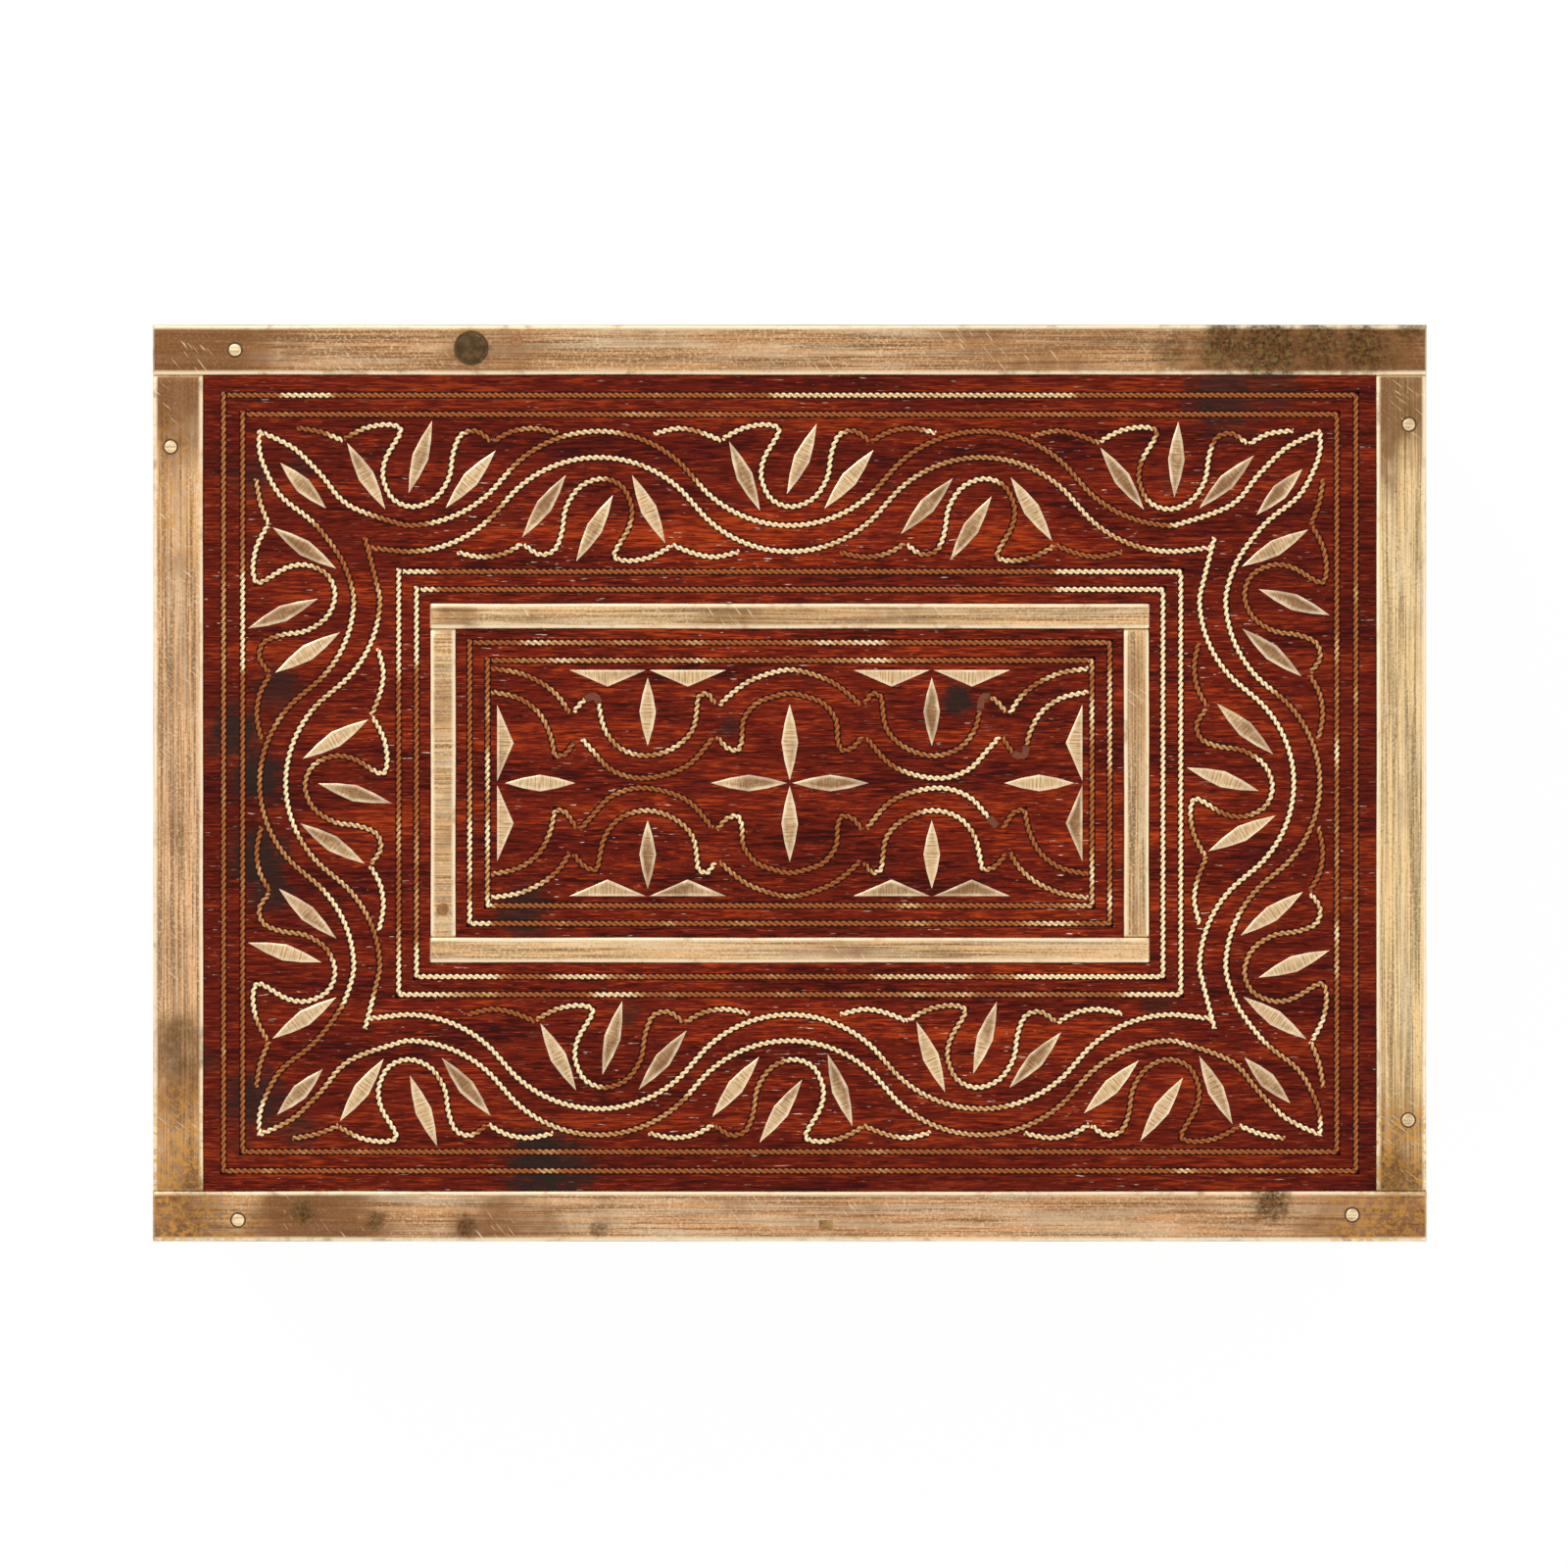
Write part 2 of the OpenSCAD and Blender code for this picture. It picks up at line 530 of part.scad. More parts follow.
// A leaf with its knuckles: up = 1 for the lid's and -1 for the case's
module leaf(up) {
    starts = up > 0 ? [-knuckle_l / 2] : [-hinge_l / 2, hinge_l / 2 - knuckle_l];
    z = up > 0 ? lid_z : wall_top - leaf_t;
    back = axis_y - barrel_d / 2 - 0.3;
    difference() {
        union() {
            translate([-hinge_l / 2, leaf_y, z]) cube([hinge_l, back - leaf_y, leaf_t]);
            for (x = starts) translate([x, back - 0.5, z]) cube([knuckle_l, axis_y - back + 0.5, leaf_t]);
            knuckles(starts, barrel_d / 2);
        }
        translate([-hinge_l, axis_y, axis_z]) rotate([0, 90, 0])
            cylinder(d = hinge_pin_d + 2 * pin_play, h = 2 * hinge_l, $fn = 48);
        leaf_screws(up, fit);
    }
}

module leaf_screws(up, grow = 0) {
    y = (leaf_y + axis_y - barrel_d / 2) / 2;
    for (s = [-1, 1]) translate([s * hinge_l * 0.3, y, up > 0 ? lid_z : wall_top])
        rotate([up > 0 ? 0 : 180, 0, 0]) screw(grow);
}

// The room that a leaf and the barrel need in the board above or below
module leaf_pocket(up) {
    l = hinge_l + 2 * fit;
    lo = up > 0 ? lid_z - cut : wall_top - leaf_t - fit;
    translate([-l / 2, leaf_y - fit, lo]) cube([l, axis_y - leaf_y, leaf_t + fit + cut]);
    r = barrel_d / 2 + relief;
    lo_relief = up > 0 ? lid_z - cut : axis_z - r;
    translate([-l / 2, axis_y - r, lo_relief]) cube([l, r + bevel_in + cut, r + cut]);
}

module at_hinge(s) {
    translate([s * hinge_x, 0, 0]) children();
}

// ---------------------------------------------------------------- lock

case_front = lock_y - lock_t;                   // outer face of the lock case
case_wall = 0.8;
lock_play = 0.15;                               // play of the bolt in its channel
bolt_h = 4.4;
bolt_t = 1.7;
bolt_l = 11;
bolt_z = wall_top - 7.5;                        // middle of the bolt
bolt_rest = 0.6;                                // from the drawn bolt to the staple's loop
slot_play = 0.45;                               // play of the loop in the lock case
loop_x = 2;                                     // size of the loop along the bolt's way
loop_y = lock_t - 2 * case_wall - 2 * slot_play;
loop_wall = 0.85;
loop_low = bolt_z - bolt_h / 2 - 1.8;
bolt_x = lock_x - loop_x / 2 - bolt_rest;       // nose of the drawn bolt
staple_y = lock_y - lock_t / 2;
plate_z = wall_top - edge_w - plate_h / 2;
keyhole_z = bolt_z - bolt_h / 2 - 4.2;
key_reach = 5;                                  // room that the key's bit needs round it

module lock_pocket() {
    translate([lock_x - lock_w / 2 - fit, case_front - fit, wall_top - lock_h - fit])
        cube([lock_w + 2 * fit, lock_t + 2 * fit + cut, lock_h + 2 * fit + cut]);
}

// A keyhole's outline about the middle of its round end
module keyhole(grow = 0) {
    circle(d = 3.4 + 2 * grow, $fn = 12);
    translate([-0.7 - grow, -4.6 - grow]) square([1.4 + 2 * grow, 4.6]);
}

// ---------------------------------------------------------------- nodes: the lid

module lid_panel() {
    color(wood) difference() {
        translate([-box_w / 2, -box_d / 2, lid_z]) cube([box_w, box_d, lid_t]);
        back_bevel(1);
        on_lid() {
            for (s = ["front", "back", "left", "right"]) {
                lid_strip(s, true);
                frame_strip(s, true);
            }
        }
        on_lid() lid_edge_rope_inlay(fit);
        on_lid() outside_rope_inlay(fit);
        on_lid() inside_rope_inlay(fit);
        on_lid() vine_inlay(vine_outer(), fit);
        on_lid() vine_inlay(vine_inner(), fit);
        on_lid() palmette_inlay(fit);
        on_lid() vine_petal_inlay(fit);
        on_lid() scroll_inlay(fit);
        on_lid() field_petal_inlay(fit);
        on_lid() field_half_petal_inlay(fit);
        on_lid() lid_pins(fit);
        on_lid() plug(fit);
        for (s = [-1, 1]) at_hinge(s) {
            leaf_pocket(1);
            leaf_screws(1, fit);
        }
        staple_shape(fit);
    }
}

module lid_strip_node(side) {
    color(brass) on_lid() difference() {
        lid_strip(side);
        lid_pins(fit);
        plug(fit);
        translate([0, 0, -box_h]) staple_tang(fit);
    }
}

module frame_strip_node(side) {
    color(brass) on_lid() difference() {
        frame_strip(side);
        lid_pins(fit);
    }
}

// The staple: a plate let into the lid's underside, a loop below it for the bolt and
// a tang that comes up through the lid and its front strip
module staple_tang(grow = 0) {
    translate([lock_x - 1.1 - grow, -box_d / 2 + tang_in - 0.8 - grow, lid_z])
        cube([2.2 + 2 * grow, 1.6 + 2 * grow, lid_t + strip_proud + 0.05 + (grow > 0 ? cut : 0)]);
}

module staple_shape(grow = 0) {
    staple_tang(grow);
    translate([lock_x - staple_w / 2 - grow, -box_d / 2 + 1.2 - grow, lid_z - grow])
        cube([staple_w + 2 * grow, wall_t - 1.8 + 2 * grow, 1.2 + 2 * grow]);
}

module lid_staple() {
    color(brass) {
        difference() {
            union() {
                staple_shape();
                translate([lock_x - loop_x / 2, staple_y - loop_y / 2, loop_low])
                    cube([loop_x, loop_y, lid_z - loop_low + 0.1]);
            }
            translate([lock_x - loop_x, staple_y - loop_y / 2 + loop_wall, bolt_z - bolt_h / 2 - 0.4])
                cube([2 * loop_x, loop_y - 2 * loop_wall, bolt_h + 0.8]);
        }
    }
}

// ---------------------------------------------------------------- nodes: the case

module end_board(n) {
    // the front or the back board, rebated at its ends for the side boards
    color(wood) difference() {
        rotate([0, 0, 90 * n]) difference() {
            translate([-box_w / 2, -box_d / 2, bottom_t]) cube([box_w, wall_t, wall_top - bottom_t]);
            for (x = [-box_w / 2 - cut, box_w / 2 - wall_t])
                translate([x, -box_d / 2 + wall_t - lap_d, bottom_t - cut])
                    cube([wall_t + cut, lap_d + cut, wall_top - bottom_t + 2 * cut]);
        }
        on_wall(n) wall_rails(n, true);
        on_wall(n) wall_posts(n, true);
        on_wall(n) wall_ropes(n, fit);
        for (k = [0:3]) on_wall(k) wall_pins(k, fit);
        on_wall((n + 1) % 4) wall_posts((n + 1) % 4, true);
        on_wall((n + 3) % 4) wall_posts((n + 3) % 4, true);
        on_wall((n + 1) % 4) wall_rails((n + 1) % 4, true);
        on_wall((n + 3) % 4) wall_rails((n + 3) % 4, true);
        bottom_nail_set(fit);
        if (n == 0) {
            lock_pocket();
            on_wall(0) keyhole_plate_pocket();
            translate([lock_x, -box_d / 2 - cut, keyhole_z]) rotate([-90, 0, 0]) mirror([0, 1, 0])
                linear_extrude(wall_t) keyhole();
        } else {
            back_bevel(-1);
            for (s = [-1, 1]) at_hinge(s) {
                leaf_pocket(-1);
                leaf_screws(-1, fit);
            }
        }
    }
}

module side_board(n) {
    color(wood) difference() {
        rotate([0, 0, 90 * n]) translate([-box_d / 2 + wall_t - lap_d, -box_w / 2, bottom_t])
            cube([box_d - 2 * (wall_t - lap_d), wall_t, wall_top - bottom_t]);
        on_wall(n) wall_rails(n, true);
        on_wall(n) wall_posts(n, true);
        on_wall(n) wall_ropes(n, fit);
        for (k = [0:3]) on_wall(k) wall_pins(k, fit);
        bottom_nail_set(fit);
        back_bevel(-1);
    }
}

module bottom_nail_set(grow = 0) {
    for (sx = [-1, 1], sy = [-1, 1]) {
        translate([sx * box_w * 0.3, sy * (box_d / 2 - wall_t / 2), 0]) nail(grow);
        translate([sx * (box_w / 2 - wall_t / 2), sy * box_d * 0.22, 0]) nail(grow);
    }
}

nail_d = 1.6;
nail_head_d = 3.4;
nail_head_h = 0.8;
nail_grip = 12;         // how far a nail goes into the wall over the bottom board
module nail(grow = 0) {
    translate([0, 0, grow > 0 ? -cut : 0])
        cylinder(d = nail_head_d + 2 * grow, h = nail_head_h + (grow > 0 ? cut : 0), $fn = 12);
    cylinder(d = nail_d + 2 * grow, h = bottom_t + nail_grip, $fn = 12);
}

module bottom_board() {
    color(wood) difference() {
        translate([-box_w / 2, -box_d / 2, 0]) cube([box_w, box_d, bottom_t]);
        for (n = [0:3]) on_wall(n) {
            wall_rails(n, true);
            wall_pins(n, fit);
        }
        bottom_nail_set(fit);
    }
}

module keyhole_plate_pocket() {
    translate([lock_x - plate_w / 2 - fit, plate_z - plate_h / 2 - fit, -strip_in])
        cube([plate_w + 2 * fit, plate_h + fit, strip_in + cut]);
}

module keyhole_plate() {
    color(brass) on_wall(0) difference() {
        translate([lock_x + plate_w / 2, plate_z - plate_h / 2, 0]) rotate(90) strip(plate_h - 0.1, plate_w);
        translate([lock_x, keyhole_z, -5]) linear_extrude(10) keyhole();
    }
}

module lock_case() {
    color(brass) difference() {
        translate([lock_x - lock_w / 2, case_front, wall_top - lock_h]) cube([lock_w, lock_t, lock_h]);
        // the bolt's channel, whose ends stop it
        translate([bolt_x - bolt_l, staple_y - bolt_t / 2, bolt_z - bolt_h / 2] - lock_play * [1, 1, 1])
            cube([bolt_l + bolt_throw, bolt_t, bolt_h] + 2 * lock_play * [1, 1, 1]);
        // the slot that the staple's loop drops into
        translate([lock_x - loop_x / 2 - slot_play, case_front + case_wall, loop_low - slot_play])
            cube([loop_x + 2 * slot_play, lock_t - 2 * case_wall, wall_top - loop_low + slot_play + cut]);
        // the room that the key turns in, below the bolt
        translate([lock_x - key_reach, case_front + case_wall, keyhole_z - key_reach])
            cube([2 * key_reach, lock_t - 2 * case_wall, bolt_z - keyhole_z + key_reach - bolt_h / 2]);
        translate([lock_x, case_front - cut, keyhole_z]) rotate([-90, 0, 0]) mirror([0, 1, 0])
            linear_extrude(cut + 2 * case_wall) keyhole();
    }
}

module lock_bolt() {
    color(iron)
        translate([bolt_x - bolt_l, staple_y - bolt_t / 2, bolt_z - bolt_h / 2])
            cube([bolt_l, bolt_t, bolt_h]);
}

module rails_node(n) {
    color(brass) difference() {
        on_wall(n) wall_rails(n);
        on_wall(n) wall_pins(n, fit);
        back_bevel(-1);
    }
}

module posts_node(n) {
    color(brass) on_wall(n) difference() {
        wall_posts(n);
        wall_pins(n, fit);
    }
}

module hinge_pin(s) {
    color(iron) at_hinge(s) translate([-hinge_l / 2, axis_y, axis_z]) rotate([0, 90, 0])
        cylinder(d = hinge_pin_d, h = hinge_l, $fn = 48);
}

// ---------------------------------------------------------------- drawing

lid_panel();
lid_strip_node("front");  // lid_strip_front
lid_strip_node("back");  // lid_strip_back
lid_strip_node("left");  // lid_strip_left
lid_strip_node("right");  // lid_strip_right
frame_strip_node("front");  // frame_strip_front
frame_strip_node("back");  // frame_strip_back
frame_strip_node("left");  // frame_strip_left
frame_strip_node("right");  // frame_strip_right
color(bright) on_lid() lid_edge_rope_inlay();  // lid_edge_ropes
color(bright) on_lid() outside_rope_inlay();  // frame_ropes_outside
color(bright) on_lid() inside_rope_inlay();  // frame_ropes_inside
color(bright) on_lid() vine_inlay(vine_outer());  // vine_outer_wire
color(bright) on_lid() vine_inlay(vine_inner());  // vine_inner_wire
color(bright) on_lid() palmette_inlay();  // palmette_wires
color(bright) on_lid() vine_petal_inlay();  // vine_lozenges
color(bright) on_lid() scroll_inlay();  // scroll_wires
color(bright) on_lid() field_petal_inlay();  // field_lozenges
color(bright) on_lid() field_half_petal_inlay();  // field_half_lozenges
color(brass) on_lid() lid_pins();  // lid_strip_pins
color(iron) on_lid() plug();  // lid_plug
end_board(0);  // front_board
end_board(2);  // back_board
side_board(3);  // left_board
side_board(1);  // right_board
bottom_board();
color(iron) bottom_nail_set();  // bottom_nails
rails_node(0);  // front_rails
rails_node(2);  // back_rails
rails_node(3);  // left_rails
rails_node(1);  // right_rails
posts_node(0);  // front_posts
posts_node(2);  // back_posts
posts_node(3);  // left_posts
posts_node(1);  // right_posts
color(bright) on_wall(0) wall_ropes(0);  // front_ropes
color(bright) on_wall(2) wall_ropes(2);  // back_ropes
color(bright) on_wall(3) wall_ropes(3);  // left_ropes
color(bright) on_wall(1) wall_ropes(1);  // right_ropes
color(brass) for (n = [0:3]) on_wall(n) wall_pins(n);  // case_strip_pins
color(brass) at_hinge(-1) leaf(-1);  // left_hinge_case_leaf
color(brass) at_hinge(-1) leaf(1);  // left_hinge_lid_leaf
hinge_pin(-1);  // left_hinge_pin
color(brass) at_hinge(1) leaf(-1);  // right_hinge_case_leaf
color(brass) at_hinge(1) leaf(1);  // right_hinge_lid_leaf
hinge_pin(1);  // right_hinge_pin
color(brass) for (s = [-1, 1]) at_hinge(s) leaf_screws(-1);  // case_leaf_screws
color(brass) for (s = [-1, 1]) at_hinge(s) leaf_screws(1);  // lid_leaf_screws
lock_case();
lock_bolt();
lid_staple();
keyhole_plate();
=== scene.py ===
import math

import bmesh
import bpy
import numpy as np
from bpy.props import FloatProperty, FloatVectorProperty, IntProperty, PointerProperty
from bpy.types import Operator, Panel, PropertyGroup
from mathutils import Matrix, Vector, noise


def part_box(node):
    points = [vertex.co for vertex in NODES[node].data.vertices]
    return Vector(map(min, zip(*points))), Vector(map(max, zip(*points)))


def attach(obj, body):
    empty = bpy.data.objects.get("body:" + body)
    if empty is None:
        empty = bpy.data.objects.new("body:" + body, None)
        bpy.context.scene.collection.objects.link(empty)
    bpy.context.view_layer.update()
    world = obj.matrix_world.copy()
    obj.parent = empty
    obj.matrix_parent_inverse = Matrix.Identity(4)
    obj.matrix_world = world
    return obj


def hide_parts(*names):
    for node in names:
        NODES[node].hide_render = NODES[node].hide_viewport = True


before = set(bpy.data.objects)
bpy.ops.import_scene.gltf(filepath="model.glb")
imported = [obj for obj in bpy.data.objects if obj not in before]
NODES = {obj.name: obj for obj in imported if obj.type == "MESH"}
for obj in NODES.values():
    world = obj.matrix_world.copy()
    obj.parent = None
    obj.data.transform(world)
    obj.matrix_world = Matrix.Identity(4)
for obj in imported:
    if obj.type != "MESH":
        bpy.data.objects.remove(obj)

bl_info = {
    "name": "Inlaid wooden box",
    "version": (1, 0, 0),
    "blender": (4, 5, 0),
    "location": "View3D > Sidebar > Inlaid box",
    "description": "Finishes a hardwood box inlaid with twisted brass wire and brass lozenges",
    "category": "Object",
}

MM = 0.001
UP = Vector((0, 0, 1))
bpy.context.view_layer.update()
LID_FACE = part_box("lid_panel")[1].z
WALLS = {"front": Vector((0, -1, 0)), "right": Vector((1, 0, 0)),
         "back": Vector((0, 1, 0)), "left": Vector((-1, 0, 0))}

# Where the lid's wood and its strips are stained: x, y and radius in millimetres, and how deeply
WOOD_STAINS = [
    (-38.6, -60.2, 8, 0.95), (-34, -60.6, 5, 0.8), (-87.2, 8, 5.6, 0.9), (-83.6, 1.4, 5.4, 0.9),
    (-83.4, -11.5, 6, 0.9), (-81.6, -17, 4.4, 0.75), (-80.4, 14.8, 4.6, 0.65), (-84, -49.6, 6.4, 0.75),
    (-41.8, -20.2, 5.4, 0.8), (26.3, 12.9, 3.2, 0.9), (-9.4, 9.1, 2.2, 0.6), (-25.5, -36.3, 2.6, 0.6),
    (68, 60.5, 7.5, 0.75), (76, 62.6, 6, 0.6), (57.5, -34.8, 3, 0.5), (-84.6, 47.5, 4, 0.5),
    (-76.5, 50, 2.4, 0.45), (-92, -44, 3, 0.5), (-86, -57, 2.4, 0.55), (60, 47, 2.2, 0.4),
    (-77, -54.5, 3.6, 0.6), (-87, -50.5, 3.5, 0.6),
]
BRASS_STAINS = [
    (59.5, 68, 3.4, 0.55), (68, 69, 5.5, 0.9), (75, 68, 7, 0.95), (83, 68.5, 5, 0.8), (90, 68.5, 5.5, 0.9),
    (97.5, 71.4, 3, 0.7), (75.6, -65.8, 4, 0.95), (-76.3, -67.5, 2.2, 0.8), (-64.8, -68.6, 2, 0.85),
    (-50.9, -69.7, 2.2, 0.8), (-29.8, -69.7, 2, 0.7), (-95.5, -41, 6, 0.5), (-96.6, -8, 4, 0.3),
    (-50, 68.3, 3.4, 0.55), (95.5, -62, 5, 0.4), (-93, -66, 6, 0.35),
]
# Where the strips are flaked with gold, and where they have gone brown, in the same way
BRASS_FLAKES = [(-97, -62, 16, 0.9), (-98, 44, 16, 0.45), (-92, -70, 9, 0.6), (97, -59, 14, 0.9),
                (92, -69, 10, 0.7)]
BRASS_TARNISH = [
    (-93, 69, 19, 0.8), (-46, 67, 11, 0.5), (46, 69, 14, 0.35), (82, 68, 26, 0.9), (-73, -68, 17, 0.8),
    (-43, -69, 13, 0.5), (93, -69, 15, 0.5), (-98, 57, 11, 0.4), (-96, -44, 11, 0.65), (-97, -66, 12, 0.4),
    (96, 60, 14, 0.35), (97, -55, 14, 0.15), (2, 26, 26, 0.25), (-52, 26, 5, 0.5), (54, 10, 16, 0.15),
    (-54, 12, 6, 0.3), (-54, -4, 8, 0.35), (10, -26, 20, 0.12), (35, 68, 14, 0.3),
]
# Where the twisted wire has been lost and its groove is filled with reddish wax: x, y and radius
LOST_WIRE = [(-30.6, 14, 1.6), (36.5, 4.5, 1.5), (29.5, 13.4, 1.9), (-33.7, 7.8, 1.3), (6.9, -4.5, 1.2),
             (31.7, -6.6, 1.3)]
FLUSH_PINS = [(-42.9, 69.8), (-53.6, -19.5)]    # the pins that are filed flush and have gone brown
# Where each twisted wire is polished (1) or brown (0): x and y from, x and y to, amount
WIRE_WEAR = {
    "vine_outer_wire": [
        (-92, 44, -63, 62, 1), (-63, 38, -56, 46, 0.2), (-55, 38, -43, 50, 1), (-43, 50, -34, 58, 0.25),
        (-34, 53, -25, 58, 0.7), (-25, 40, -14, 58, 0.2), (-13, 38, 13, 50, 1), (14, 42, 59, 58, 0.15),
        (61, 38, 92, 62, 1), (68, 15, 92, 38, 0.95), (68, -20, 92, 13, 0.25), (66, -33, 71, -22, 1),
        (70, -42, 75, -35, 1), (76, -50, 81, -43, 0.5), (82, -57, 84, -54, 1), (-82, -18, -74, 0, 0.35),
        (-74, -33, -67, -19, 0.95), (-81, -50, -70, -36, 0.15), (-84, -54, -82.5, -52, 1),
        (-81, -53, -74, -46, 0.3), (-72, -50, -64, -44, 0.6), (-62, -44, -40, -39, 0.85),
        (-52, -52, -41, -44, 0.9), (-38, -56, -16, -52, 0.5), (-15, -52, 5, -41, 0.85),
        (6, -53, 19, -42, 0.7), (20, -56, 44, -50, 0.45), (45, -47, 62, -41, 0.6), (64, -49, 80, -42, 0.4),
    ],
    "vine_inner_wire": [
        (-43, 44, -25, 56, 1), (-22, 36, 5, 50, 1), (6, 36, 56, 56, 0.5), (58, 34, 72, 50, 0.9),
        (60, -40, 80, 34, 0.95), (-80, -7, -76, 8, 1), (-78, -24, -67, -9, 0.45), (-66, -33, -63, -24, 0.15),
        (-67, -38, -63, -35.5, 1), (-61, -37, -56, -34, 0.75), (-54, -52, 14, -36, 1),
        (15, -52, 34, -42, 0.5), (36, -50, 66, -34, 1),
    ],
    "palmette_wires": [
        (-88, 52, -74, 58, 0.05), (-68, 42, -56, 52, 1), (-42, 38, -30, 50, 0.9), (-24, 34, -16, 40, 1),
        (-12, 52, -2, 58, 0.95), (-6, 42, 8, 54, 0.9), (10, 52, 20, 58, 0.1), (24, 38, 32, 50, 0.95),
        (50, 52, 56, 58, 0.9), (58, 44, 70, 52, 0.95), (72, 52, 82, 58, 1), (72, 6, 84, 36, 0.25),
        (-65.5, 0, -63, 6, 1), (-72.5, 2, -67, 4, 0.1), (-77, -7, -74, 1, 0.35), (-69, -13, -63, -7, 0.5),
        (-83, -36, -71, -30.5, 0.95), (-84, -30, -73, -18, 0.15), (-84, -52, -80, -38, 0.25),
        (-81, -55, -73, -52, 0.3), (-65, -56, -60, -43, 1), (-60, -44, -54, -42, 0.85),
        (-54, -55, -51, -45, 0.8), (-51, -38, -41, -35, 0.2), (-39, -37, -34, -34, 0.4),
        (-34, -47, -30, -35, 1), (-22, -45, -16, -35, 0.4), (-23, -57, -13, -54, 0.7),
        (-8, -54, 0, -44, 0.35), (1, -57, 5, -44, 0.95), (9, -56, 17, -54, 0.4), (19, -56, 21, -54, 1),
        (7, -37, 19, -34, 1),
        (21, -46, 28, -35, 0.45), (33, -46, 37, -37, 0.7), (39, -37, 48, -34, 0.5), (48, -37, 52, -34, 1),
        (34, -57, 45, -54, 0.6), (47, -56, 50, -50, 1), (52, -54, 62, -43, 0.3), (72, -36, 84, -24, 0.3),
        (79, -55, 84, -42, 0.3),
    ],
    "lid_edge_ropes": [
        (-2, 60.5, 44, 62, 0.7), (-79, 59.5, -73, 62, 0.85), (-90, -5, -87.5, 62, 0.3),
        (-87, 19, -84.5, 31, 0.8),
    ],
    "frame_ropes_outside": [
        (-56, 28, 40, 35, 0.15), (43, 28, 62, 35, 1), (56, -35, 62, 27, 0.95), (-62, 20, -57, 34, 0.9),
        (-59.5, -31.5, -47.5, -27, 1), (14, -31.5, 27, -29, 0.6), (37, -31.5, 60, -29, 1),
        (-62, -34.5, -57, -32, 1), (54, -35, 62, -32, 0.9),
    ],
    "frame_ropes_inside": [(-51, -23, -48, -20, 1), (-45, -23, -38.5, -19, 0)],
}
WEAR_FADES = 3.0            # over how many millimetres the wear of a stretch fades out

FIELD_REACH = (92, 64)      # from the middle of the lid to the edges of its wood, in millimetres
TOWARDS_CORNER = ((62, 99), (40, 72))       # where the brass begins to darken and is darkest, X and Y
SCRATCH_ANGLE = 52          # which way the fine scratches on the brass run, in degrees
PORE = (0.012, 0.004, 0.003)
STAINED_WOOD = (0.022, 0.016, 0.012)
WIRE_PROUD = 0.15 * MM      # how far the wire stands above the wood of the walls
JOIN = 2e-6                 # how near doubled corners of the solids lie, in metres
FACING, LEVEL = 0.995, 2e-5     # how square to a way a face lies, and how level with the top one
PIN_REACH = 1.5 * MM        # how near a pin lies to the place that is given for it
# The lamps: name, place, diameter, and share of the key lamp's power
LAMPS = (("key_lamp", (-0.55, 0.75, 1.1), 0.5, 1.0), ("side_lamp", (0.9, -0.5, 0.8), 0.8, 0.35))
LAMP_AIM = Vector((0, 0, 0.04))
FLOOR_REACH = 3.0
SENSOR = 36                 # width of the camera's sensor in millimetres


def linear(code):
    """The linear colour of a hexadecimal one."""
    parts = [int(code[i:i + 2], 16) / 255 for i in (1, 3, 5)]
    return tuple(c / 12.92 if c <= 0.04045 else ((c + 0.055) / 1.055) ** 2.4 for c in parts)


def colour_of(name, code, what):
    return FloatVectorProperty(name=name, description="Colour of " + what, subtype="COLOR", size=3,
                               min=0, max=1, default=linear(code))


def length_of(name, millimetres, description):
    return FloatProperty(name=name, description=description, default=millimetres * MM, min=0,
                         unit="LENGTH", subtype="DISTANCE", precision=5)


def amount_of(name, default, description):
    return FloatProperty(name=name, description=description, default=default, min=0, max=1,
                         subtype="FACTOR")


class WoodFinish(PropertyGroup):
    dark: colour_of("Dark grain", "#3A0C09", "the darkest grain")
    body: colour_of("Body", "#731F0E", "most of the wood")
    streak: colour_of("Streaks", "#B64114", "the bright streaks")
    fleck: colour_of("Flecks", "#F0E0C8", "scratches and filled pores")
    streak_length: length_of("Streak length", 7, "How long the streaks of the grain are")
    roughness: amount_of("Roughness", 0.42, "Roughness of the waxed wood")


class BrassFinish(PropertyGroup):
    back: colour_of("Back strips", "#A87B4E", "the strips at the back")
    front: colour_of("Front strips", "#B38255", "the strips at the front")
    left: colour_of("Left strips", "#C29569", "the strips at the left")
    right: colour_of("Right strips", "#CEAE7A", "the strips at the right")
    inner: colour_of("Inner strips", "#C39A69", "the strips of the inner frame")
    brown: colour_of("Tarnish", "#744924", "the tarnished brass")
    # The pale colour of rubbed brass, also painted on the rounded rims as a highlight
    rim: colour_of("Rims", "#F4DFBA", "the worn rims")
    gold: colour_of("Flakes", "#C88F3C", "the golden flakes")
    sheet: colour_of("Lozenges", "#BE9462", "the lozenges")
    sheet_light: colour_of("Brushed lozenges", "#E8CA9C", "the bright strokes on the lozenges")
    pin: colour_of("Pins", "#D9BE92", "the pin heads")
    polished: colour_of("Polished wire", "#EFD6A8", "the polished wire")
    gold_wire: colour_of("Golden wire", "#C0905A", "the wire where it is half polished")
    dull_wire: colour_of("Dull wire", "#9E5B2B", "the wire where it isn't polished")
    hollow: colour_of("Hollows", "#5E220C", "the hollows between the strands")
    stained: colour_of("Stains", "#33260F", "the dark stains")
    verdigris: colour_of("Verdigris", "#8A7C3E", "the green specks in the stains")
    edge_wander: length_of("Edge wander", 0.12, "How far the hand-cut edges of the strips wander")
    roughness: amount_of("Roughness", 0.4, "Roughness of the brushed brass")


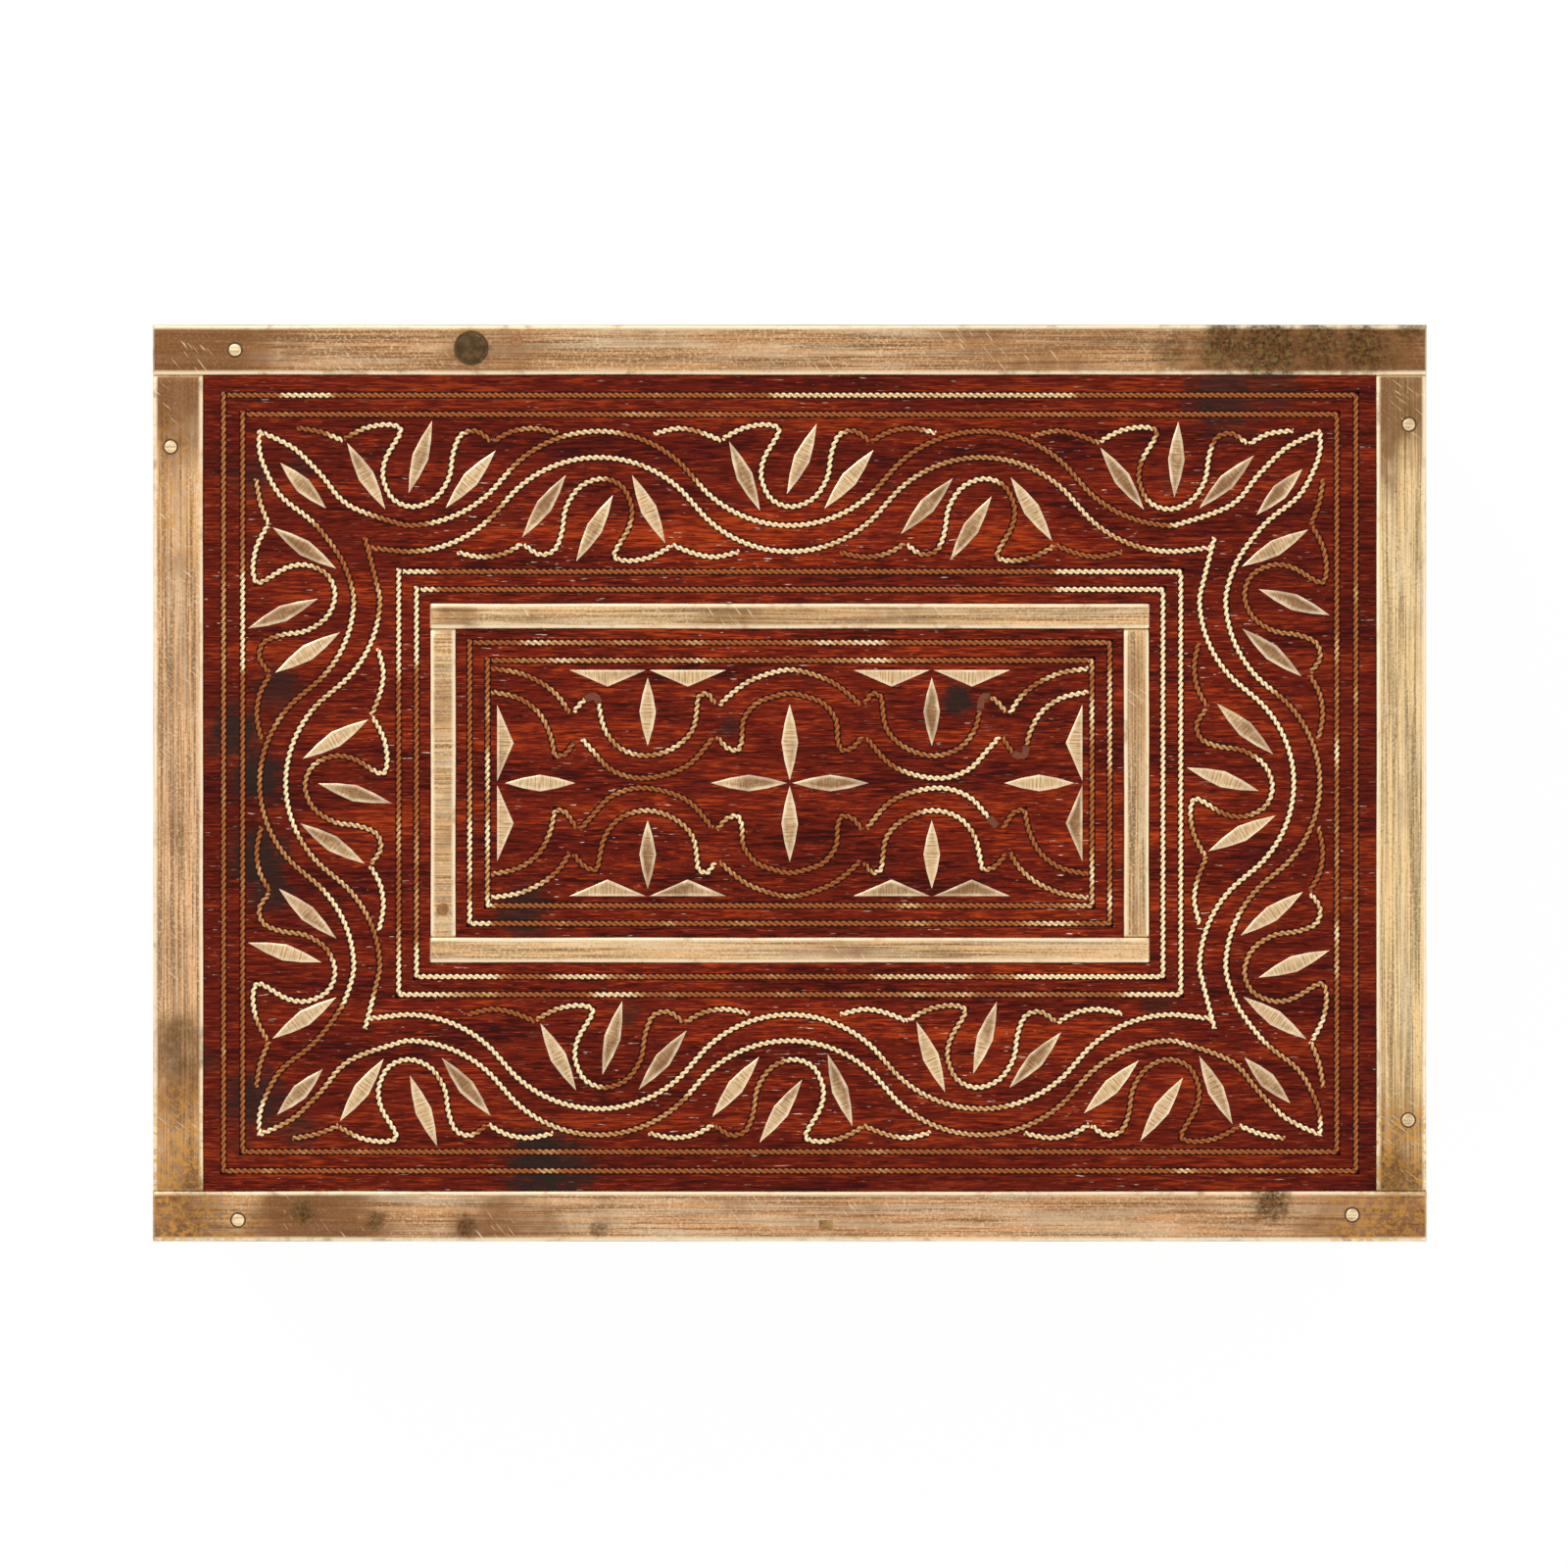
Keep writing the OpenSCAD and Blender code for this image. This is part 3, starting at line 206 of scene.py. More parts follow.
class WireShape(PropertyGroup):
    pitch: length_of("Pitch", 2.1, "Length of one whole turn of the twist")
    strand: length_of("Strand", 0.6, "Diameter of each of the two strands")
    spread: length_of("Spread", 0.225, "Distance of a strand's middle from that of the twist")
    filed: length_of("Filed", 0.15, "How much is filed off the top of the twist")
    sides: IntProperty(name="Sides", description="Sides of a strand", default=6, min=4, max=12)
    rings: IntProperty(name="Rings", description="Rings in one turn of the twist", default=8, min=6, max=24)


class StageSetting(PropertyGroup):
    frame_width: length_of("Frame width", 246.2, "Width that the camera sees at the lid")
    camera_height: length_of("Camera height", 1200, "Height of the camera above the lid")
    middle: FloatVectorProperty(name="Middle", description="Point below the camera", size=2, subtype="XYZ",
                                unit="LENGTH", default=(-0.9 * MM, -0.15 * MM))
    key: FloatProperty(name="Key lamp", description="Power of the key lamp", default=7.0, min=0, unit="POWER")
    fill: amount_of("Fill", 0.62, "Strength of the even light from all round")


# ---------------------------------------------------------------- shader trees


class Finish:
    """A material, or a world, and short calls that wire its nodes."""

    def __init__(self, name, kind="materials"):
        self.owner = getattr(bpy.data, kind).new(name)
        self.owner.use_nodes = True
        self.tree = self.owner.node_tree
        self.tree.nodes.clear()
        self.mm = self.vector("SCALE", self.add("ShaderNodeTexCoord").outputs["Object"], scale=1 / MM)

    def add(self, kind, inputs=(), **settings):
        node = self.tree.nodes.new(kind)
        for key, value in settings.items():
            setattr(node, key, value)
        for key, value in dict(inputs).items():
            self.feed(node.inputs[key], value)
        return node

    def feed(self, socket, value):
        if isinstance(value, bpy.types.NodeSocket):
            self.tree.links.new(value, socket)
        elif socket.type == "RGBA" and len(value) == 3:
            socket.default_value = (*value, 1)
        else:
            socket.default_value = value

    def math(self, operation, *values):
        return self.add("ShaderNodeMath", enumerate(values), operation=operation).outputs[0]

    def times(self, value, *others):
        for other in others:
            value = self.math("MULTIPLY", value, other)
        return value

    def plus(self, value, *others):
        for other in others:
            value = self.math("ADD", value, other)
        return value

    def swing(self, value, amount):
        """A value from 0 to 1, moved to swing about 0 by half the amount."""
        return self.times(self.math("SUBTRACT", value, 0.5), amount)

    def vector(self, operation, *values, scale=None):
        node = self.add("ShaderNodeVectorMath", enumerate(values), operation=operation)
        if scale is not None:
            node.inputs["Scale"].default_value = scale
        return node.outputs["Value" if operation in ("LENGTH", "DISTANCE") else "Vector"]

    def noise(self, place, scale=1.0, detail=2.0, rough=0.5, distort=0.0):
        return self.add("ShaderNodeTexNoise", {"Vector": place, "Scale": scale, "Detail": detail,
                                               "Roughness": rough, "Distortion": distort}).outputs["Fac"]

    def step(self, value, low, high, to_low=0.0, to_high=1.0):
        return self.add("ShaderNodeMapRange", {"Value": value, "From Min": low, "From Max": high,
                                               "To Min": to_low, "To Max": to_high},
                        interpolation_type="SMOOTHSTEP").outputs["Result"]

    def mix(self, amount, low, high):
        node = self.add("ShaderNodeMix", data_type="RGBA")
        for i, value in ((0, amount), (6, low), (7, high)):
            self.feed(node.inputs[i], value)
        return node.outputs[2]

    def blend(self, value, low, high, colour, other, most=1.0):
        """The colour, and the most of the other one as the value goes from low to high."""
        return self.mix(self.step(value, low, high, 0.0, most), colour, other)

    def carried(self, name):
        return self.add("ShaderNodeAttribute", attribute_name=name).outputs["Fac"]

    def stretched(self, along, across):
        """Millimetres along X divided by along, and the other two divided by across."""
        return self.vector("MULTIPLY", self.mm, (1 / along, 1 / across, 1 / across))

    def split(self):
        """X, Y and Z in millimetres."""
        return self.add("ShaderNodeSeparateXYZ", {0: self.mm}).outputs

    def turned(self, axis):
        """Makes the given axis the one that the grain runs along."""
        if axis != "X":
            split = self.split()
            order = (1, 0, 2) if axis == "Y" else (2, 0, 1)
            self.mm = self.add("ShaderNodeCombineXYZ",
                               {i: split[k] for i, k in enumerate(order)}).outputs[0]

    def turn(self, place, degrees):
        """The place turned about Z."""
        return self.add("ShaderNodeVectorRotate", {"Vector": place, "Angle": math.radians(degrees)},
                        rotation_type="Z_AXIS").outputs[0]

    def stains(self, spots, ragged=1.6, scale=0.5):
        """How stained a point is by the spots on the lid, with ragged edges."""
        wander = self.swing(self.noise(self.mm, scale, 4, 0.7), ragged)
        split = self.split()
        flat = self.add("ShaderNodeCombineXYZ", {0: split[0], 1: split[1]}).outputs[0]
        total = None
        for x, y, radius, depth in spots:
            away = self.math("DIVIDE", self.vector("DISTANCE", flat, (x, y, 0)), radius)
            spot = self.step(self.plus(away, wander), 1.1, 0.35, 0.0, depth)
            total = spot if total is None else self.math("MAXIMUM", total, spot)
        face = LID_FACE / MM
        return self.times(total, self.step(split[2], face - 4, face - 3))

    def seen(self):
        """1 for the rays that see the white background, and 0 for those that light the box."""
        ray = self.add("ShaderNodeLightPath").outputs
        return self.math("MAXIMUM", ray["Is Camera Ray"],
                         self.math("MAXIMUM", ray["Is Glossy Ray"], ray["Is Transmission Ray"]))

    def bump(self, height, distance, strength):
        """Bumps of a height in millimetres."""
        return self.add("ShaderNodeBump", {"Height": height, "Distance": distance * MM,
                                           "Strength": strength}).outputs["Normal"]

    def done(self, colour, roughness, metallic=0.0, normal=None, **plain):
        shader = self.add("ShaderNodeBsdfPrincipled", {"Base Color": colour, "Roughness": roughness,
                                                       "Metallic": metallic})
        if normal is not None:
            self.feed(shader.inputs["Normal"], normal)
        for key, value in plain.items():
            shader.inputs[key.replace("_", " ")].default_value = value
        return self.end(shader)

    def end(self, shader, out="ShaderNodeOutputMaterial"):
        self.feed(self.add(out).inputs["Surface"], shader.outputs[0])
        return self.owner


def finished(name, make, *values):
    """The material of that name, made the first time that it's asked for."""
    return bpy.data.materials.get(name) or make(name, *values)


def waxed_wood(name, axis, stained=False):
    look = bpy.context.scene.wood_finish
    f = Finish(name)
    flat = f.mm
    f.turned(axis)
    long = look.streak_length / MM
    figure = f.noise(f.stretched(long * 5, 5), 1, 3, 0.55, 0.4)
    streak = f.noise(f.stretched(long * 0.65, 0.36), 1, 3, 0.6, 0.2)
    fibre = f.noise(f.stretched(long * 0.4, 0.26), 1, 3, 0.65)
    dash = f.noise(f.stretched(long * 0.45, 0.27), 1, 2, 0.5)
    tone = f.plus(f.times(figure, 0.42), f.times(streak, 0.58))
    dark = f.blend(tone, 0.38, 0.5, look.dark, look.body)
    colour = f.blend(tone, 0.52, 0.64, dark, look.streak)
    colour = f.blend(f.plus(dash, f.times(figure, 0.3)), 0.73, 0.83, colour, look.streak, 0.8)
    colour = f.blend(fibre, 0.5, 0.64, colour, look.dark, 0.5)
    pore = f.step(f.noise(f.stretched(2.6, 0.16), 1, 1, 0.4), 0.64, 0.7)
    colour = f.mix(f.times(pore, 0.75), colour, PORE)
    scratch = f.step(f.noise(f.stretched(2.2, 0.27), 1.0, 2, 0.5), 0.69, 0.75)
    worn = f.step(f.noise(f.mm, 0.05, 2), 0.42, 0.62, 0.1, 1.0)
    colour = f.mix(f.times(scratch, worn), colour, look.fleck)
    rough = f.plus(look.roughness - 0.08, f.times(fibre, 0.22))
    if stained:
        f.mm = flat
        far = f.math("MAXIMUM", *(f.math("DIVIDE", f.math("ABSOLUTE", part), reach)
                                  for part, reach in zip(f.split(), FIELD_REACH)))
        colour = f.blend(far, 0.6, 1.0, colour, look.dark, 0.3)
        stain = f.stains(WOOD_STAINS)
        colour = f.mix(stain, colour, STAINED_WOOD)
        rough = f.plus(rough, f.times(stain, 0.2))
        f.turned(axis)
    normal = f.bump(f.math("SUBTRACT", fibre, f.times(pore, 1.4)), 0.06, 0.6)
    return f.done(colour, rough, normal=normal, Specular_IOR_Level=0.06)


def brushed_strip(name, axis, base, stained=False):
    """Brass brushed along an axis, brown where it is tarnished, pale where rubbed, and with pale rims that
    are painted highlight over rubbed wear.
    """
    look = bpy.context.scene.brass_finish
    f = Finish(name)
    flat, sides = f.mm, f.split()
    f.turned(axis)
    brush = f.noise(f.stretched(22, 0.3), 1, 3, 0.65)
    band = f.noise(f.stretched(24, 1.2), 1, 3, 0.6)
    cloud = f.noise(f.mm, 0.08, 4, 0.62)
    grain = f.noise(f.mm, 2.2, 3, 0.75)
    speck = f.noise(f.mm, 0.9, 3, 0.7)
    corner = f.times(*(f.step(f.math("ABSOLUTE", part), near, far)
                       for part, (near, far) in zip(sides, TOWARDS_CORNER)))
    dull = f.plus(f.times(cloud, 0.8), f.times(corner, 0.15), f.times(band, 0.35))
    if stained:
        f.mm = flat
        dull = f.plus(dull, f.times(f.stains(BRASS_TARNISH, 1.2, 0.1), 0.4))
        f.turned(axis)
    dull = f.step(f.plus(dull, f.swing(grain, 0.5)), 0.48, 0.98)
    clean = f.math("SUBTRACT", 1.0, f.times(dull, 0.85))
    colour = f.blend(brush, 0.38, 0.6, [c * 0.52 for c in base], [min(c * 1.48, 1) for c in base])
    colour = f.blend(band, 0.48, 0.66, colour, look.rim, 0.4)
    colour = f.mix(f.times(dull, 0.9), colour, look.brown)
    colour = f.mix(f.times(f.step(grain, 0.5, 0.64, 0.0, 0.5), clean), colour, look.rim)
    colour = f.blend(grain, 0.46, 0.34, colour, look.brown, 0.45)
    colour = f.mix(f.times(f.step(speck, 0.6, 0.72, 0.0, 0.4), clean), colour, look.rim)
    colour = f.blend(speck, 0.4, 0.28, colour, look.brown, 0.5)
    aslant = f.vector("MULTIPLY", f.turn(f.mm, SCRATCH_ANGLE), (1 / 3, 1 / 0.24, 1))
    scratch = f.step(f.noise(aslant, 1, 1, 0.4), 0.66, 0.73)
    worn = f.step(f.noise(f.mm, 0.08, 2), 0.5, 0.62)
    colour = f.mix(f.times(scratch, worn, 0.5), colour, look.rim)
    # The rims are painted pale: painted highlight on the rounded edges, over rubbed wear
    rim = f.times(f.carried("rim"), f.step(f.noise(f.mm, 0.35, 3, 0.6), 0.25, 0.5, 0.35, 1.0))
    colour = f.mix(rim, colour, look.rim)
    rough = f.plus(look.roughness, f.times(dull, 0.18))
    if stained:
        f.mm = flat
        flake = f.step(f.noise(f.mm, 1.0, 4, 0.8), 0.47, 0.56)
        colour = f.mix(f.times(f.stains(BRASS_FLAKES, 1.2, 0.2), flake, 0.8), colour, look.gold)
        tint = f.blend(f.noise(f.mm, 1.3, 3, 0.75), 0.4, 0.62, look.stained, look.brown)
        tint = f.blend(speck, 0.5, 0.64, tint, look.verdigris, 0.5)
        ragged = f.step(f.noise(f.mm, 1.7, 4, 0.8), 0.3, 0.55, 0.35, 1.0)
        stain = f.times(f.stains(BRASS_STAINS), ragged)
        colour = f.mix(stain, colour, tint)
        rough = f.plus(rough, f.times(stain, 0.15))
    normal = f.bump(f.plus(brush, f.times(grain, 0.5)), 0.05, 0.45)
    return f.done(colour, rough, 0.82, normal)


def twisted_brass(name):
    """The wire is bright on its crowns where it is polished and brown in its hollows."""
    look = bpy.context.scene.brass_finish
    f = Finish(name)
    polish, crown = f.carried("polish"), f.carried("crown")
    speck = f.noise(f.mm, 2.2, 3, 0.7)
    shine = f.times(polish, f.step(f.plus(crown, f.times(speck, 0.4)), 0.3, 0.95))
    shine = f.step(f.plus(shine, f.swing(speck, 0.5)), 0.12, 0.8)
    colour = f.blend(shine, 0.0, 0.5, look.dull_wire, look.gold_wire)
    colour = f.blend(shine, 0.45, 1.0, colour, look.polished)
    hollow = f.mix(f.times(polish, 0.7), look.hollow, look.dull_wire)
    colour = f.blend(crown, 0.6, 0.05, colour, hollow, 0.75)
    rough = f.math("SUBTRACT", look.roughness + 0.12, f.times(shine, 0.2))
    return f.done(colour, rough, 0.75, f.bump(speck, 0.04, 0.4))


def groove_wax(name):
    """Near-black wax beside the wire, partly real filler and partly painted shade of the groove, and reddish
    wax where the wire is lost.
    """
    look = bpy.context.scene.wood_finish
    f = Finish(name)
    speck = f.noise(f.mm, 1.5, 3, 0.7)
    # Near black: filler wax that also paints the shade at the floor of the groove
    dark = f.mix(speck, (0.028, 0.008, 0.005), look.dark)
    red = f.mix(speck, (0.12, 0.03, 0.016), (0.27, 0.09, 0.05))
    return f.done(f.mix(f.carried("filler"), dark, red), 0.6, normal=f.bump(speck, 0.1, 0.6),
                  Specular_IOR_Level=0.12)


def lozenge_brass(name):
    """Sheet brass brushed across each lozenge, tarnished in patches, with painted shade darkening one end and
    one side, and pale rims of painted highlight over rubbed wear.
    """
    look = bpy.context.scene.brass_finish
    f = Finish(name)
    uv = f.add("ShaderNodeUVMap", uv_map="brushing").outputs["UV"]
    brush = f.noise(f.vector("MULTIPLY", uv, (1 / 0.3, 1 / 5, 1)), 1, 3, 0.65)
    cloud = f.noise(f.vector("MULTIPLY", uv, (1 / 4, 1 / 2.2, 1)), 1, 3, 0.6)
    speck = f.noise(f.mm, 2.4, 3, 0.7)
    # The dull value carries each lozenge's own tarnish and a painted shade towards one end and one side
    dull = f.step(f.plus(f.times(cloud, 0.7), f.times(speck, 0.3), f.times(f.carried("dull"), 0.36)),
                  0.5, 0.95)
    colour = f.blend(brush, 0.36, 0.62, [c * 0.8 for c in look.sheet], look.sheet_light)
    colour = f.mix(f.times(dull, 0.85), colour, look.brown)
    # Pale edges: painted highlight on the eased rims, over rubbed wear
    edge = f.times(f.carried("rim"), f.step(cloud, 0.3, 0.6, 0.9, 0.4))
    colour = f.mix(edge, colour, look.rim)
    rough = f.plus(look.roughness - 0.02, f.times(dull, 0.15))
    return f.done(colour, rough, 0.8, f.bump(brush, 0.05, 0.5))


def old_metal(name, light, dark, metallic, rough):
    """Plain hand-filed metal with dark hollows and worn patches."""
    f = Finish(name)
    cloud = f.noise(f.mm, 0.3, 4, 0.65)
    speck = f.noise(f.mm, 2.6, 3, 0.7)
    file_marks = f.noise(f.stretched(7, 0.18), 1, 2, 0.5)
    tone = f.plus(f.times(cloud, 0.6), f.times(speck, 0.4))
    colour = f.blend(tone, 0.36, 0.62, dark, light)
    roughness = f.plus(rough - 0.1, f.times(tone, 0.25))
    return f.done(colour, roughness, metallic, f.bump(f.plus(file_marks, speck), 0.05, 0.5))


def plug_face(name):
    """The dark, dull face of the plug, and the dirt round the pins."""
    f = Finish(name)
    rough = f.noise(f.mm, 0.9, 4, 0.7)
    colour = f.blend(rough, 0.35, 0.68, (0.065, 0.036, 0.013), (0.14, 0.08, 0.032))
    return f.done(colour, 0.6, 0.0, f.bump(rough, 0.1, 0.6), Specular_IOR_Level=0.12)


def white_floor(name):
    """A pale floor that is seen as white."""
    f = Finish(name)
    paper = f.mix(f.noise(f.mm, 0.2, 3), (0.9, 0.9, 0.9), (0.93, 0.93, 0.93))
    plain = f.add("ShaderNodeBsdfDiffuse", {"Color": paper})
    glow = f.add("ShaderNodeEmission", {"Color": (1, 1, 1), "Strength": 1.02})
    return f.end(f.add("ShaderNodeMixShader", {0: f.times(f.seen(), 0.95), 1: plain.outputs[0],
                                               2: glow.outputs[0]}))


def white_studio(name, fill):
    """Even light from all round, in front of a white background."""
    f = Finish(name, "worlds")
    level = f.step(f.seen(), 0, 1, fill, 1)
    return f.end(f.add("ShaderNodeBackground", {"Color": (1, 1, 1), "Strength": level}),
                 "ShaderNodeOutputWorld")


def wood_along(axis):
    return finished("waxed_wood_" + axis, waxed_wood, axis)


def lid_wood():
    return finished("waxed_wood_lid", waxed_wood, "X", True)


def axis_of(side):
    """The axis that a side of the box runs along."""
    return "X" if side in ("front", "back") else "Y"


def strip_brass(axis, side):
    """The brushed brass of one side of the box, or of the inner frame."""
    base = list(getattr(bpy.context.scene.brass_finish, side))
    return finished("strip_" + side + "_" + axis, brushed_strip, axis, base, True)


def fitting_brass():
    return finished("fitting_brass", old_metal, linear("#A98552"), linear("#5E4120"), 0.85, 0.45)


def pin_brass():
    return finished("pin_brass", brushed_strip, "X", list(bpy.context.scene.brass_finish.pin))


def forged_iron():
    return finished("forged_iron", old_metal, (0.11, 0.09, 0.075), (0.035, 0.022, 0.016), 0.7, 0.6)


# ---------------------------------------------------------------- reading the solids


def solids_of(node):
    """The faces of each separate solid of a CAD node, with its doubled corners joined."""
    mesh = bmesh.new()
    mesh.from_mesh(NODES[node].data)
    bmesh.ops.remove_doubles(mesh, verts=mesh.verts, dist=JOIN)
    mesh.normal_update()
    left = set(mesh.faces)
    groups = []
    while left:
        start = left.pop()
        group, front = [start], [start]
        while front:
            face = front.pop()
            for edge in face.edges:
                for other in edge.link_faces:
                    if other in left:
                        left.remove(other)
                        group.append(other)
                        front.append(other)
        groups.append(group)
    groups.sort(key=lambda g: tuple(round(c, 5) for c in middle_of(g)))
    return mesh, groups


def middle_of(group):
    """The middle of the middles of a solid's faces."""
    middle = Vector()
    for face in group:
        middle += face.calc_center_median()
    return middle / len(group)


def box_of(group):
    """The corners of a solid's faces, and the lowest and the highest corner of its box."""
    corners = [v.co for f in group for v in f.verts]
    low, high = (Vector([pick(c[i] for c in corners) for i in range(3)]) for pick in (min, max))
    return corners, low, high


def quads(first, rows, wide, closed=True):
    """The faces between rows of corners, where each row is a ring or a line of so many."""
    return [(a + k, a + wide + k, a + wide + (k + 1) % wide, a + (k + 1) % wide)
            for a in range(first, first + rows * wide, wide) for k in range(wide if closed else wide - 1)]


def outline(group, normal):
    """The corners, in order, of the face of a solid that looks along normal."""
    facing = [f for f in group if f.normal.dot(normal) > FACING]
    top = max(f.calc_center_median().dot(normal) for f in facing)
    facing = {f for f in facing if abs(f.calc_center_median().dot(normal) - top) < LEVEL}
    after = {}
    for face in facing:
        for loop in face.loops:
            if sum(other in facing for other in loop.edge.link_faces) == 1:
                after[loop.vert] = loop.link_loop_next.vert
    first = min(after, key=lambda v: tuple(round(c, 6) for c in v.co))
    path, here = [first.co.copy()], after[first]
    while here is not first:
        path.append(here.co.copy())
        here = after[here]
    return path


def middle_line(path, normal):
    """The middle line of a band from its outline: its two ends are its short, square edges."""
    n = len(path) // 2

    def edge(i):
        return path[(i + 1) % (2 * n)] - path[i % (2 * n)]

    def turn(i):
        a, b = edge(i - 1).normalized(), edge(i).normalized()
        return math.atan2(a.cross(b).dot(normal), a.dot(b)) / (math.pi / 2)

    def score(k):
        """Less for a short pair of edges, and for square turns beside them."""
        size = edge(k).length + edge(k + n).length
        return size / MM + 3 * sum(abs(turn(i) - 1) for i in (k, k + 1, k + n, k + n + 1))

    k = min(range(n), key=score)
    return [(path[(k + 1 + i) % (2 * n)] + path[(k - i) % (2 * n)]) / 2 for i in range(n)]


def rounded(points, step, curved):
    """Points about every step along a line; a curved one is drawn smoothly through its points."""
    fine, parts = [], 8
    last = len(points) - 1
    for i in range(last):
        a, b, c, d = points[max(i - 1, 0)], points[i], points[i + 1], points[min(i + 2, last)]
        for k in range(parts if curved else 1):
            t = k / parts
            if curved:
                fine.append(b + ((c - a) * t + (2 * a - 5 * b + 4 * c - d) * t * t
                                 + (3 * b - a - 3 * c + d) * t * t * t) / 2)
            else:
                fine.append(b.copy())
    fine.append(points[-1].copy())
    line = np.array(fine)
    length = np.concatenate([[0], np.cumsum(np.linalg.norm(np.diff(line, axis=0), axis=1))])
    count = max(int(round(length[-1] / step)), 4)
    at = np.linspace(0, length[-1], count + 1)
    line = np.stack([np.interp(at, length, line[:, k]) for k in range(3)], axis=1)
    for _ in range(2):
        line[1:-1] = (line[:-2] + 2 * line[1:-1] + line[2:]) / 4
    return line


# ---------------------------------------------------------------- building pieces


def placed(name, data, place=(0, 0, 0)):
    """A new object in the scene."""
    o = bpy.data.objects.new(name, data)
    o.location = place
    bpy.context.scene.collection.objects.link(o)
    return o


def mesh_piece(name, points, faces, materials, body, replaced, slot, kinds=None, smooth=True, **carried):
    """A new piece from corners and faces. carried are values kept at its corners."""
    data = bpy.data.meshes.new(name)
    data.from_pydata([tuple(p) for p in points], [], faces)
    for material in materials:
        data.materials.append(material)
    if kinds is not None:
        data.polygons.foreach_set("material_index", kinds)
    data.polygons.foreach_set("use_smooth", [smooth] * len(data.polygons))
    for key, values in carried.items():
        data.attributes.new(key, "FLOAT", "POINT").data.foreach_set("value", np.asarray(values, np.float32))
    data.update()
    piece = placed(name, data)
    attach(piece, body)
    if replaced:
        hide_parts(*replaced)
    return piece


def uneven(x, y, z):
    """Smooth noise from -1 to 1."""
    return noise.noise(Vector((x, y, z)))


def eased(x):
    """0 up to 0, 1 from 1 on, and smooth between."""
    x = min(max(x, 0.0), 1.0)
    return x * x * (3 - 2 * x)


def polish_at(x, y, z, dullness, seed, wear):
    """How polished the wire is at a place in millimetres."""
    broad = uneven(x * 0.055, y * 0.055, seed + z * 0.05)
    fine = uneven(x * 0.25, y * 0.25, seed + 7)
    value = 0.55 - dullness + (1.5 - 2 * dullness) * broad + 0.5 * fine
    for x0, y0, x1, y1, amount in wear:
        away = math.hypot(max(x0 - x, 0, x - x1), max(y0 - y, 0, y - y1))
        value += (amount - value) * 0.85 * eased(1 - away / WEAR_FADES)
    return min(max(value, 0.0), 1.0)


def twist(lines, normal, top, dullness, wear):
    """Two strands twisted about each line, filed flat on top, and the wax that beds them; the wax is near
    black, which also paints the shade in the groove.
    """
    half_bed, wax_low, wax_high = 0.56 * MM, -0.16 * MM, -0.03 * MM
    crown_from, crown_rise = 0.42 * MM, 0.4 * MM
    shape = bpy.context.scene.wire_shape
    sides, step = shape.sides, shape.pitch / shape.rings
    radius, spread = shape.strand / 2, shape.spread
    sunk = top + shape.filed - radius - spread
    angles = [2 * math.pi * (k + 0.5) / sides for k in range(sides)]
    points, faces, kinds, polish, crown, filler = [], [], [], [], [], []
    n = np.array(normal)
    for number, (line, curved) in enumerate(lines):
        path = rounded(line, step, curved)
        way = np.gradient(path, axis=0)
        way /= np.linalg.norm(way, axis=1)[:, None]
        side = np.cross(n, way)
        lost = [normal.z > 0.5 and any(math.hypot(p[0] / MM - x, p[1] / MM - y) < r for x, y, r in LOST_WIRE)
                for p in path]
        shine = [polish_at(*(p / MM), dullness, number * 0.37, wear) for p in path]
        for strand in (0, 1):
            first = len(points)
            for i, p in enumerate(path):
                turn = 2 * math.pi * i / shape.rings + strand * math.pi + number
                off, up = spread * math.cos(turn), sunk + spread * math.sin(turn)
                for a in angles:
                    high = min(up + radius * math.sin(a), top)
                    points.append(p + side[i] * (off + radius * math.cos(a)) + n * high)
                    crown.append(eased((high - top + crown_from) / crown_rise))
                    polish.append(shine[i])
                    filler.append(0.0)
            for i in range(len(path) - 1):
                if not (lost[i] or lost[i + 1]):
                    faces += quads(first + i * sides, 1, sides)
            last = first + (len(path) - 1) * sides
            faces += [tuple(range(first, first + sides)), tuple(range(last, last + sides))[::-1]]
        kinds += [0] * (len(faces) - len(kinds))
        # The wax bed: filler that shows as a dark outline beside the strands, painted shade of the groove
        first = len(points)
        for i, p in enumerate(path):
            for s in (-1, 1):
                points.append(p + side[i] * s * half_bed + n * (wax_high if lost[i] else wax_low))
                crown.append(0.0)
                polish.append(0.0)
                filler.append(1.0 if lost[i] else 0.0)
        faces += quads(first, len(path) - 1, 2, closed=False)
        kinds += [1] * (len(faces) - len(kinds))
    return points, faces, kinds, {"polish": polish, "crown": crown, "filler": filler}


def lay_wire(node, normal=UP, curved=True, dullness=0.0, longer=(0,)):
    """Replaces a CAD node's plain bands with real twisted wire. longer is how many
    millimetres the ends of each length reach on, so that they touch their neighbours."""
    mesh, groups = solids_of(node)
    lines = []
    proud = max(v.co.dot(normal) for v in mesh.verts)
    face = LID_FACE if normal is UP else proud - WIRE_PROUD
    for number, group in enumerate(groups):
        path = [p - normal * (p.dot(normal) - face) for p in outline(group, normal)]
        line = middle_line(path, normal)
        reach = longer[number % len(longer)] * MM
        if reach:
            line.insert(0, line[0] + (line[0] - line[1]).normalized() * reach)
            line.append(line[-1] + (line[-1] - line[-2]).normalized() * reach)
        lines.append((line, curved))
    mesh.free()
    points, faces, kinds, carried = twist(lines, normal, proud - face, dullness, WIRE_WEAR.get(node, ()))
    body = "lid" if normal is UP else "case"
    return mesh_piece("twisted_" + node, points, faces,
                      [finished("twisted_brass", twisted_brass), finished("groove_wax", groove_wax)],
                      body, [node], "twisted_wire", kinds, **carried)


